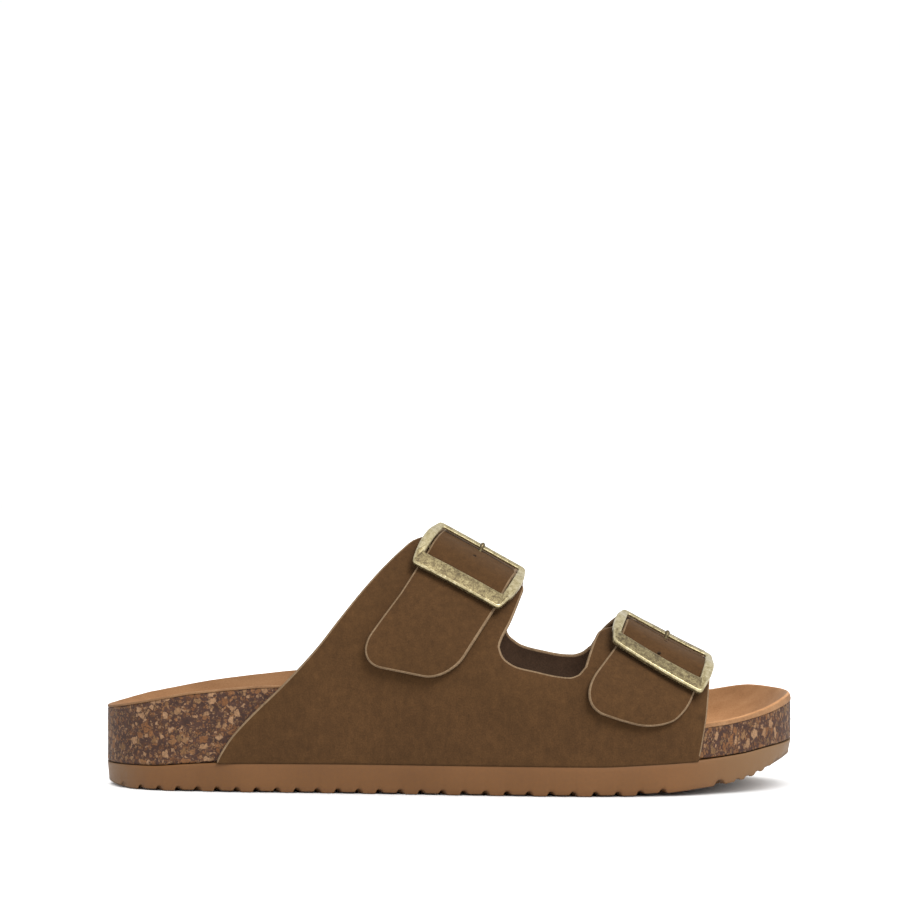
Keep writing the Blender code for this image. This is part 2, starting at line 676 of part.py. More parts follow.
def prong_path():
    """Hook under and round the centre bar, then the tongue: along, over and swell of each point."""
    hook = [(HOOK_RADIUS * math.cos(math.radians(t)), CENTRE_OVER + HOOK_RADIUS * math.sin(math.radians(t)), 1.0)
            for t in range(-70, -271, -25)]
    return hook + list(zip(PRONG["along"], PRONG["over"], PRONG["swell"]))


def prong_body(name, strap, extra, mat=None, cutter=False):
    """Round wire along the prong's path, made flat and then carried onto the strap."""
    path = prong_path()
    curve = bpy.data.curves.new(name + "_path", "CURVE")
    curve.dimensions = "3D"
    curve.bevel_depth = 1.0
    curve.bevel_resolution = 1
    curve.use_fill_caps = True
    spline = curve.splines.new("POLY")
    spline.points.add(len(path) - 1)
    for point, (along, over, swell) in zip(spline.points, path):
        point.co = (0.0, along, over, 1.0)
        point.radius = PRONG_RADIUS * swell + extra
    wire = bpy.data.objects.new(name + "_path", curve)
    cutters.objects.link(wire)
    bpy.context.view_layer.update()
    made = bpy.data.meshes.new_from_object(wire.evaluated_get(bpy.context.evaluated_depsgraph_get()))
    bpy.data.objects.remove(wire, do_unlink=True)
    bm = bmesh.new()
    bm.from_mesh(made)
    bmesh.ops.remove_doubles(bm, verts=bm.verts, dist=1e-5)
    flat = np.array([v.co[:] for v in bm.verts])
    for v, p in zip(bm.verts, on_strap(strap, flat[:, 0], flat[:, 1], flat[:, 2])):
        v.co = [c * MM for c in p]
    bmesh.ops.recalc_face_normals(bm, faces=bm.faces)
    return link(name, bm, mat, cutter)


for name, strap in STRAPS.items():
    loops = [rounded_rectangle(-FRAME_HALF, FRAME_HALF, FRAME_LOW, FRAME_HIGH, FRAME_ROUND),
             rounded_rectangle(-FRAME_HALF, FRAME_HALF, FRAME_LOW, FRAME_HIGH, FRAME_ROUND),
             rounded_rectangle(-FRAME_HALF + FRAME_CHAMFER, FRAME_HALF - FRAME_CHAMFER,
                               FRAME_LOW + FRAME_CHAMFER, FRAME_HIGH - FRAME_CHAMFER, FRAME_ROUND)]
    inner_box = (-FRAME_HALF + BAR_SIDE, FRAME_HALF - BAR_SIDE, FRAME_LOW + BAR_LOW, FRAME_HIGH - BAR_HIGH)
    edge = FRAME_CHAMFER * 0.6
    loops += [rounded_rectangle(inner_box[0] - edge, inner_box[1] + edge, inner_box[2] - edge,
                                inner_box[3] + edge, FRAME_INNER_ROUND + edge),
              rounded_rectangle(*inner_box, FRAME_INNER_ROUND), rounded_rectangle(*inner_box, FRAME_INNER_ROUND)]
    overs = (FRAME_UNDER, FRAME_TOP - FRAME_CHAMFER, FRAME_TOP, FRAME_TOP, FRAME_TOP - FRAME_CHAMFER, FRAME_UNDER)
    bulges = (FRAME_BULGE,) * 3 + (FRAME_INNER_BULGE,) * 3
    rings = []
    for loop, bulge, up in zip(loops, bulges, overs):
        across, along = np.array(barrel(loop, bulge)).T
        rings.append(on_strap(strap, across, along, up - (up > FRAME_UNDER) * FRAME_THIN * step(2, 12, along)))
    buckle = link("buckle_" + name, rings_body(rings, closed=True), brass)

    reach = FRAME_HALF - 0.5 * BAR_SIDE
    bar_rings = []
    turn = np.linspace(0, 2 * math.pi, 11)[:-1]
    for a in np.linspace(-reach, reach, 9):
        bar_rings.append(on_strap(strap, a, CENTRE_RADIUS * np.cos(turn), CENTRE_OVER + CENTRE_RADIUS * np.sin(turn)))
    ends = [[np.mean(bar_rings[0], axis=0)] * 10], [[np.mean(bar_rings[-1], axis=0)] * 10]
    bar = link("centre_bar_" + name, rings_body(ends[0] + bar_rings + ends[1]), cutter=True)
    boolean(buckle, bar, "UNION")
    bm = bmesh.new()
    for side in (-1, 1):
        made = bmesh.ops.create_cube(bm, size=1.0)
        for v in made["verts"]:
            a = side * (FRAME_HALF - 0.12 - (0.0 if v.co.x * side > 0 else BAR_SIDE - 0.24))
            b = LUG_HALF * (1 if v.co.y > 0 else -1)
            up = FRAME_TOP - 1.2 if v.co.z > 0 else CENTRE_OVER - CENTRE_RADIUS - 0.15
            v.co = [c * MM for c in on_strap(strap, [a], [b], [up])[0]]
    bmesh.ops.recalc_face_normals(bm, faces=bm.faces)
    lugs = link("lugs_" + name, bm, cutter=True)
    boolean(buckle, lugs, "UNION")

    prong = prong_body("prong_" + name, strap, 0.0, brass)
    room = prong_body("prong_room_" + name, strap, PRONG_GAP, cutter=True)
    boolean(upper, room, "DIFFERENCE")
    boolean(buckle, room, "DIFFERENCE")

# ---------------------------------------------------------------- stand it centred over the origin
bpy.context.view_layer.update()
graph = bpy.context.evaluated_depsgraph_get()
low, high = np.full(3, 1e9), np.full(3, -1e9)
for ob in parts.objects:
    shape = ob.evaluated_get(graph).to_mesh()
    co = np.array([v.co[:] for v in shape.vertices])
    low, high = np.minimum(low, co.min(0)), np.maximum(high, co.max(0))
shift = (-(low[0] + high[0]) / 2, -(low[1] + high[1]) / 2, -low[2])
for ob in list(parts.objects) + list(cutters.objects):
    ob.location = shift
bpy.context.view_layer.update()
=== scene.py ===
"""Looks of the double-buckle sandal: nubuck upper, cork footbed, suede insole, foam outsole, antique brass.

The shapes start from the same curves as the solids they stand for. Sizes are in millimetres: a station
runs from the back of the heel towards the toe, a height is measured up from the floor.
"""
import math

import bmesh
import bpy
import numpy as np
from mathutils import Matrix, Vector, noise


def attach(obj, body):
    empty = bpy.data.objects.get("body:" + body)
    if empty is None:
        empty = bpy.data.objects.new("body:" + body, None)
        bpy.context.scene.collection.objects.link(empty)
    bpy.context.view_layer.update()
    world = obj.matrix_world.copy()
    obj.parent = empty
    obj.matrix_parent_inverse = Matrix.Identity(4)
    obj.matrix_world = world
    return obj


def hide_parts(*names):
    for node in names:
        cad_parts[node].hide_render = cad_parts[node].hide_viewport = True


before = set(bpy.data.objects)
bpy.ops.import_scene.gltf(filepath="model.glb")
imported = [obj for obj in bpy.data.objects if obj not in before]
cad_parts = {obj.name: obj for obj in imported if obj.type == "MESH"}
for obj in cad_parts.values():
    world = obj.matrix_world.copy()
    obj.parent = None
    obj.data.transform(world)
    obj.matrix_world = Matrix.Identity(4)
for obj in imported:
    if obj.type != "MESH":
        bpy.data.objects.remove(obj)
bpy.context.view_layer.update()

MM = 0.001
SHIFT = np.array([-129.0, 2.289, 0.0])      # the middle of the object's box stands over the origin
LENGTH = 258.0
GAP = 0.35
WALL_GAP = 0.75
WALL = 2.0
LINING = 0.9
HEEL_CAP = 34.0
TOE_CAP_OUTER = 88.0
TOE_CAP_INNER = 58.0
CAP_POWER = 2.3
TIP_Y = 8.0
SPINE_BACK, SPINE_FRONT = 36.0, 212.0
PAD_RISE, PAD_STATION, PAD_LONG, PAD_WIDE = 2.0, 150.0, 17.0, 14.0
TOE_BAR_RISE, TOE_BAR_STATION, TOE_BAR_LONG = 1.4, 213.0, 6.0
SOLE_DRAFT = 0.6
SOLE_FLARE = 2.3
HEEL_ROUND_RISE, HEEL_ROUND_RUN = 2.9, 16.0
SPRING_START = 192.0
GROOVE_FIRST, GROOVE_PITCH, GROOVE_SPREAD, GROOVES = 8.7, 7.15, 0.0207, 31
GROOVE_RADIUS, GROOVE_SINK = 1.4, 0.3
SHORT_TOOTH = 0.4
WALL_SHARE = 0.35
ARCH_POWER = 1.8


def table(columns, *rows):
    return {name: np.array([row[i] for row in rows], float) for i, name in enumerate(columns.split())}


PLAN = table("station outer inner",
             (0, 33.0, 32.0), (40, 34.5, 33.0), (70, 36.5, 33.5), (100, 39.5, 34.0), (130, 43.5, 36.5),
             (160, 47.0, 41.5), (185, 48.5, 45.5), (205, 48.5, 47.0), (258, 48.5, 47.0))

SOLE = table("station top",
             (0, 8.6), (20, 8.9), (32, 9.8), (48, 10.6), (65, 10.8), (105, 11.0), (186, 11.0), (201, 11.5), (219, 12.4),
             (238, 14.2), (249, 16.1), (258, 17.2))

SPRING = table("station rise",
               (192, 0.0), (207, 0.7), (222, 2.3), (232, 3.4), (240, 5.0), (245.3, 6.9), (250.5, 9.6), (255.7, 12.8),
               (258, 13.6))

BED = table("station floor rim_outer rim_inner power_outer power_inner lip",
            (0, 20.5, 30.4, 30.4, 2.8, 2.8, 0.9),
            (18, 20.5, 34.0, 33.4, 2.8, 2.8, 0.9),
            (36, 20.5, 37.3, 36.6, 2.9, 2.8, 0.9),
            (69, 21.5, 39.9, 40.4, 3.2, 2.4, 0.9),
            (95, 23.0, 38.5, 42.0, 3.4, 2.0, 0.9),
            (125, 22.5, 33.8, 39.8, 3.8, 2.1, 0.9),
            (150, 20.5, 29.8, 33.0, 4.6, 3.2, 0.9),
            (180, 17.5, 25.9, 28.4, 6.0, 5.0, 1.1),
            (205, 17.5, 24.8, 28.9, 7.0, 6.0, 1.5),
            (230, 18.5, 26.6, 32.9, 7.0, 7.0, 1.1),
            (246, 19.5, 30.3, 35.5, 6.0, 6.5, 1.8),
            (258, 20.5, 35.1, 35.1, 5.5, 5.5, 2.8))


LAST = table("station shoulder_outer shoulder_inner crown_y crown_z",
             (30, 46.0, 48.0, 5.0, 142.4),
             (126, 42.0, 46.0, 8.0, 96.5),
             (158, 35.5, 39.0, 10.0, 81.2),
             (195, 28.6, 34.5, 13.0, 63.5),
             (215, 28.2, 36.0, 13.5, 53.9),
             (240, 30.0, 37.5, 14.0, 42.0))

EDGES = table("height rear cut_rear cut_front cut_far front",
              (8, 44.3, 148.0, 179.5, 179.5, 219.8),
              (13, 46.6, 148.0, 179.5, 179.5, 220.7),
              (19, 50.4, 148.0, 179.5, 179.5, 221.8),
              (25, 55.6, 148.0, 179.5, 179.5, 222.8),
              (40, 70.9, 148.0, 179.8, 180.3, 225.0),
              (53, 82.9, 148.3, 183.2, 185.4, 226.4),
              (63, 90.7, 152.6, 188.9, 191.5, 227.3),
              (74, 99.6, 156.9, 194.5, 197.1, 228.0),
              (84, 108.8, 161.0, 200.0, 202.6, 229.0),
              (94, 120.0, 165.0, 205.0, 207.6, 230.0),
              (100, 127.8, 167.5, 208.0, 210.6, 231.0))

CUT = table("share height lift",
            (0.00, 53.0, 4.1), (0.03, 50.4, 4.2), (0.08, 48.3, 4.0), (0.22, 45.7, 3.3), (0.43, 44.1, 2.9),
            (0.69, 42.3, 3.0), (0.83, 41.8, 3.2), (0.93, 42.7, 3.2), (1.00, 45.6, 3.0))


LIFT = table("along over",
             (-60, 4.4), (-45, 3.7), (-32, 3.0), (-20, 2.6), (-11, 2.5), (-6, 3.5), (0, 5.0), (5, 4.4),
             (9.3, 3.3), (11.3, 2.85), (13, 2.6), (15.5, 2.0), (18, 1.4), (22, 0.6), (28, 0.0), (60, 0.0))


STRAPS = {
    "rear": dict(station=136.57, height=79.55, lean=0.607, turn=0.211, width=31.2, end_height=45.2,
                 end_slope=-0.18, end_round=(9.5, 8.0), drift_height=70.9, drift=(0.128, 0.029), sag=(1.0, 3.0),
                 waist=(0.5, 1.8), pinch=(0.35, 0.35), stub=0.97, trim=0.0, columns=(0, 8)),
    "front": dict(station=206.75, height=47.98, lean=0.416, turn=0.442, width=31.2, end_height=28.1,
                  end_slope=-0.29, end_round=(10.0, 12.5), drift_height=50.4, drift=(0.426, 0.003), sag=(0.6, 1.5),
                  waist=(4.0, -0.6), pinch=(0.35, -0.8), stub=1.03, trim=1.0, columns=(18, 26)),
}
STUB_END = 20.0
HOLES = {"rear": ((-0.25, 4.0),), "front": ((0.4, 6.0), (0.25, -4.5))}    # punched holes: across, along
HOLE_RADIUS = 0.75

LEVEL = 6.5
FRAME_HALF = 18.0
FRAME_LOW, FRAME_HIGH = -15.0, 15.6
BAR_LOW, BAR_HIGH, BAR_SIDE = 6.4, 2.9, 2.0
FRAME_ROUND, FRAME_INNER_ROUND = 1.3, 0.8
FRAME_BULGE, FRAME_INNER_BULGE = 2.2, 0.6
FRAME_UNDER, FRAME_TOP, FRAME_CHAMFER = 5.2, 7.8, 0.8
FRAME_THIN = 1.6
CENTRE_RADIUS, CENTRE_OVER = 0.8, 3.3
LUG_HALF = 1.6
PRONG_RADIUS = 0.6
HOOK_RADIUS = 1.85
PRONG = table("along over swell",
              (1.2, 4.95, 1.0), (2.8, 4.55, 1.0), (4.6, 4.0, 1.0), (6.4, 3.6, 1.0), (8.0, 3.4, 1.0),
              (9.4, 3.4, 1.0), (10.6, 3.5, 1.0), (11.4, 4.0, 1.0), (12.0, 4.9, 1.0), (12.4, 5.7, 1.1),
              (12.9, 6.2, 1.3), (13.7, 6.5, 1.5), (14.5, 6.4, 1.5), (15.0, 6.2, 1.3))



# ---------------------------------------------------------------- curves and the last
def smooth(xs, ys, x):
    """Monotone cubic through a table's column; straight on beyond its ends."""
    x = np.asarray(x, float)
    h = np.diff(xs)
    d = np.diff(ys) / h
    m = np.zeros(len(xs))
    inner = d[:-1] * d[1:] > 0
    m[1:-1][inner] = 2 * d[:-1][inner] * d[1:][inner] / (d[:-1][inner] + d[1:][inner])
    m[0], m[-1] = d[0], d[-1]
    i = np.clip(np.searchsorted(xs, x) - 1, 0, len(xs) - 2)
    t = (x - xs[i]) / h[i]
    c = np.clip(t, 0, 1)
    y = ((1 + 2 * c) * (1 - c) ** 2 * ys[i] + c * (1 - c) ** 2 * h[i] * m[i]
         + c * c * (3 - 2 * c) * ys[i + 1] + c * c * (c - 1) * h[i] * m[i + 1])
    return y + np.where(t < 0, t * h[i] * m[i], 0) + np.where(t > 1, (t - 1) * h[i] * m[i + 1], 0)


def col(tab, name, x):
    return smooth(next(iter(tab.values())), tab[name], x)


def step(lo, hi, x):
    t = np.clip((np.asarray(x, float) - lo) / (hi - lo), 0, 1)
    return t * t * (3 - 2 * t)


def outline(s, side):
    """Plan outline of the footbed: y at a station, side -1 outer and +1 inner."""
    s = np.clip(np.asarray(s, float), 0, LENGTH)
    full = np.where(side < 0, -col(PLAN, "outer", s), col(PLAN, "inner", s))
    heel = np.sqrt(np.clip(1 - np.clip(1 - s / HEEL_CAP, 0, 1) ** 2, 0, 1))
    run = np.where(side < 0, TOE_CAP_OUTER, TOE_CAP_INNER)
    toe = np.clip(1 - np.clip((s - LENGTH + run) / run, 0, 1) ** CAP_POWER, 0, 1) ** (1 / CAP_POWER)
    base = np.where(s < 0.5 * LENGTH, 0.0, TIP_Y)
    return base + (full - base) * heel * toe


def sole_top(s):
    return col(SOLE, "top", s)


def sole_bottom(s):
    s = np.asarray(s, float)
    heel = HEEL_ROUND_RISE * np.clip(1 - s / HEEL_ROUND_RUN, 0, 1) ** 2.2
    toe = np.where(s > SPRING_START, col(SPRING, "rise", np.clip(s, SPRING_START, LENGTH)), 0.0)
    return heel + toe


def sole_flare(s):
    return SOLE_FLARE * step(34, 54, s) * (1 - step(216, 236, s))


def last(s, girth):
    """Inner surface of the upper: girth 0 outer foot, 1 crown, 2 inner foot."""
    s, girth = np.broadcast_arrays(np.asarray(s, float), np.asarray(girth, float))
    side = np.where(girth <= 1, -1.0, 1.0)
    g = np.where(girth <= 1, girth, 2 - girth)
    wall = outline(s, side) + side * WALL_GAP
    foot = sole_top(s) + GAP
    shoulder = np.where(side < 0, col(LAST, "shoulder_outer", s), col(LAST, "shoulder_inner", s))
    cy, cz = col(LAST, "crown_y", s), col(LAST, "crown_z", s)
    turn = np.clip((g - WALL_SHARE) / (1 - WALL_SHARE), 0, 1) * math.pi / 2
    low = g < WALL_SHARE
    y = np.where(low, wall, cy + (wall - cy) * np.clip(np.cos(turn), 0, 1) ** (2 / ARCH_POWER))
    z = np.where(low, foot + (shoulder - foot) * g / WALL_SHARE,
                 shoulder + (cz - shoulder) * np.clip(np.sin(turn), 0, 1) ** (2 / ARCH_POWER))
    return np.stack([s, y, z], -1)


def last_normal(s, girth):
    d = 0.4
    ds = last(s + d, girth) - last(s - d, girth)
    dg = last(s, np.clip(girth + 0.012, 0, 2)) - last(s, np.clip(girth - 0.012, 0, 2))
    n = np.cross(ds, dg)
    return n / np.linalg.norm(n, axis=-1, keepdims=True)


def girth_at(s, z, shoulder_name="shoulder_outer"):
    """Girth share at a station and a height, counted from the foot of that side."""
    foot = sole_top(s) + GAP
    shoulder, cz = col(LAST, shoulder_name, s), col(LAST, "crown_z", s)
    low = WALL_SHARE * (z - foot) / (shoulder - foot)
    high = WALL_SHARE + (1 - WALL_SHARE) * np.arcsin(
        np.clip((z - shoulder) / (cz - shoulder), 0, 1) ** (ARCH_POWER / 2)) * 2 / math.pi
    return np.where(z < shoulder, low, high)


def girth_at_inner(s, z):
    return 2 - girth_at(s, z, "shoulder_inner")


def station_on(girth, line, guess):
    """Station where a line x(z) of the side view meets the last at a girth share."""
    s = np.broadcast_to(np.asarray(guess, float), np.shape(girth)).copy()
    for _ in range(60):
        new = 0.4 * s + 0.6 * line(last(s, girth)[..., 2])
        moved = np.max(np.abs(new - s))
        s = new
        if moved < 1e-5:
            break
    return s


# ---------------------------------------------------------------- pattern lines of the upper
COLUMNS = 26
CUT_REAR, CUT_FRONT = 8, 18


def column_line(j, fore="cut_front"):
    """Side-view line x(z) of a pattern column, 0 at the rear edge and 26 at the front edge."""
    if j <= CUT_REAR:
        a, b, t = "rear", "cut_rear", j / CUT_REAR
    elif j <= CUT_FRONT:
        a, b, t = "cut_rear", fore, (j - CUT_REAR) / (CUT_FRONT - CUT_REAR)
        t = t if t >= 0.5 else t ** 1.6 / 0.5 ** 1.6 * 0.5
    else:
        a, b, t = fore, "front", (j - CUT_FRONT) / (COLUMNS - CUT_FRONT)
    return lambda z: (1 - t) * col(EDGES, a, z) + t * col(EDGES, b, z)


def column_share(j):
    t = (j - CUT_REAR) / (CUT_FRONT - CUT_REAR)
    return t if t >= 0.5 else max(t, 0.0) ** 1.6 / 0.5 ** 1.6 * 0.5


def quarter_top(j):
    """Height of the line along the bottom of the cut-out, carried on across both straps."""
    if j <= CUT_REAR:
        return 44.0 + (CUT["height"][0] - 44.0) * j / CUT_REAR
    if j <= CUT_FRONT:
        return float(col(CUT, "height", column_share(j)))
    return CUT["height"][-1] + (38.0 - CUT["height"][-1]) * (j - CUT_FRONT) / (COLUMNS - CUT_FRONT)


def far_top(j):
    """The same line on the inner side."""
    return quarter_top(j) + float(col(CUT, "lift", np.clip(column_share(float(np.clip(j, CUT_REAR, CUT_FRONT))), 0, 1)))


def strap_line(strap, across):
    """Side-view line x(z) of a strap at a distance across it, rear to front."""
    lean = strap["lean"]
    back, fore = strap["drift"]
    share = np.clip(0.5 + across / strap["width"], 0, 1)
    drift = (1 - share) * back + share * fore
    return lambda z: (strap["station"] + across * math.sqrt(1 + lean * lean) + lean * (z - strap["height"])
                      - drift * np.clip(strap["drift_height"] - z, 0, None))


def bar_girth(strap):
    return float(girth_at(strap["station"], strap["height"]))


def along_table(strap, across):
    """Distance along the strap from its centre bar against girth share, at a distance across."""
    if "grid" not in strap:
        lanes, g = np.linspace(-22, 22, 23), np.linspace(0.12, 1.25, 160)
        both = np.broadcast_to(g, (len(lanes), len(g)))
        s = station_on(both, strap_line(strap, lanes[:, None]), strap["station"])
        hop = np.linalg.norm(np.diff(last(s, both) + last_normal(s, both) * LEVEL, axis=1), axis=2)
        run = np.concatenate([np.zeros((len(lanes), 1)), np.cumsum(hop, axis=1)], axis=1)
        zero = [np.interp(bar_girth(strap), g, row) for row in run]
        strap["grid"] = lanes, g, run - np.array(zero)[:, None] + strap["turn"] * lanes[:, None]
    lanes, g, run = strap["grid"]
    i = int(np.clip(np.searchsorted(lanes, across) - 1, 0, len(lanes) - 2))
    t = (across - lanes[i]) / (lanes[i + 1] - lanes[i])
    return (1 - t) * run[i] + t * run[i + 1], g


def on_strap(strap, across, along, over):
    """Points over the strap: across it, along it from the centre bar, and above the last."""
    across, along, over = (np.asarray(v, float) for v in np.broadcast_arrays(across, along, over))
    girth = np.array([np.interp(b, *along_table(strap, a)) for a, b in zip(across, along)])
    s = station_on(girth, strap_line(strap, across), strap["station"])
    return last(s, girth) + last_normal(s, girth) * over[:, None]


def w_far(girth):
    """How far a point is on its way down the inner side, 0 at the crown and 1 at the wall."""
    return step(1.02, 1.5, girth)


# ---------------------------------------------------------------- mesh helpers
def waves(points, size, seed):
    """Smooth noise, about -1 to 1, with features of a given size."""
    off = Vector((seed * 17.3, seed * 5.1, seed * 9.7))
    return np.array([noise.noise(Vector(p) / size + off) for p in points.tolist()])


def make(name, verts, faces, slots, materials, sharp=None):
    me = bpy.data.meshes.new(name)
    me.from_pydata(((np.asarray(verts) + SHIFT) * MM).tolist(), [], faces)
    for m in materials:
        me.materials.append(m)
    me.polygons.foreach_set("material_index", np.asarray(slots, dtype=np.int32))
    me.polygons.foreach_set("use_smooth", np.ones(len(me.polygons), dtype=bool))
    me.update()
    ob = bpy.data.objects.new(name, me)
    bpy.context.scene.collection.objects.link(ob)
    if sharp:
        me.set_sharp_from_angle(angle=math.radians(sharp))
    return ob


def tidy(ob, dist=2e-6):
    """Merges the points of rings that close up on a line and turns all faces outwards."""
    bm = bmesh.new()
    bm.from_mesh(ob.data)
    bmesh.ops.remove_doubles(bm, verts=bm.verts, dist=dist)
    bmesh.ops.dissolve_degenerate(bm, dist=1e-7, edges=bm.edges)
    bmesh.ops.recalc_face_normals(bm, faces=bm.faces)
    if bm.calc_volume(signed=True) < 0:
        bmesh.ops.reverse_faces(bm, faces=bm.faces)
    bm.to_mesh(ob.data)
    bm.free()
    ob.data.update()


def loft(name, rings, materials, slots=None, closed=False, sharp=None, wear_and_highlight=None):
    """Body through rings of points; slots gives the material of each band between two rings."""
    rings = np.asarray(rings)
    k, n = rings.shape[:2]
    faces, slot = [], []
    for a in range(k if closed else k - 1):
        b = (a + 1) % k
        for i in range(n):
            j = (i + 1) % n
            faces.append((a * n + i, a * n + j, b * n + j, b * n + i))
        slot += [slots[a] if slots else 0] * n
    ob = make(name, rings.reshape(-1, 3), faces, slot, materials)
    if wear_and_highlight is not None:
        mark(ob, "wear_and_highlight", np.repeat(np.asarray(wear_and_highlight, float), n) if np.ndim(wear_and_highlight) == 1 else np.asarray(wear_and_highlight).ravel())
    tidy(ob)
    if sharp:
        ob.data.set_sharp_from_angle(angle=math.radians(sharp))
    return ob


def mark(ob, name, values):
    at = ob.data.attributes.new(name, "FLOAT", "POINT")
    at.data.foreach_set("value", np.asarray(values, dtype=np.float32))


# cut edge of the leather: depth as a share of the thickness, and how far it stands out
RIM = ((0.012, 0.12), (0.07, 0.40), (0.20, 0.66), (0.44, 0.80), (0.75, 0.74), (1.0, 0.50))
FOOT_LINE = 1.2         # this close to the sole the leather runs down into it and shows no cut edge



def shell(name, top, under, quads, materials):
    """Leather sheet with an outer face, a flesh side and a rounded raw-cut edge all round."""
    n = len(top)
    normal = top - under
    normal /= np.linalg.norm(normal, axis=1, keepdims=True)
    quads = np.asarray(quads)
    p = top[quads]
    turn = np.einsum("ij,ij->i", np.cross(p[:, 2] - p[:, 0], p[:, 3] - p[:, 1]), normal[quads[:, 0]])
    if np.mean(turn) < 0:
        quads = quads[:, ::-1]
    edges = np.concatenate([quads[:, [0, 1]], quads[:, [1, 2]], quads[:, [2, 3]], quads[:, [3, 0]]])
    code = np.sort(edges, axis=1) @ np.array([n, 1])
    _, first, count = np.unique(code, return_index=True, return_counts=True)
    border = edges[first[count == 1]]
    away = np.cross(top[border[:, 1]] - top[border[:, 0]], normal[border[:, 0]])
    away /= np.maximum(np.linalg.norm(away, axis=1, keepdims=True), 1e-9)
    out = np.zeros_like(top)
    np.add.at(out, border[:, 0], away)
    np.add.at(out, border[:, 1], away)
    ids = np.unique(border)
    rim_out = out[ids] / np.maximum(np.linalg.norm(out[ids], axis=1, keepdims=True), 1e-9)
    spot = np.full(n, -1)
    spot[ids] = np.arange(len(ids))
    layers = [top[ids] * (1 - t) + under[ids] * t + rim_out * w for t, w in RIM]
    verts = np.concatenate([top, under] + layers)
    chain = [np.arange(n)] + [2 * n + k * len(ids) + spot for k in range(len(RIM))] + [n + np.arange(n)]
    faces = quads.tolist() + (quads[:, ::-1] + n).tolist()
    slots = [0] * len(quads) + [1] * len(quads)
    for k in range(len(RIM) + 1):
        a, b = border[:, 0], border[:, 1]
        strip = np.stack([chain[k][b], chain[k][a], chain[k + 1][a], chain[k + 1][b]], 1)
        faces += strip.tolist()
        slots += np.where(top[a, 2] < sole_top(top[a, 0]) + FOOT_LINE, 0, 2).tolist()
    return make(name, verts, faces, slots, materials)


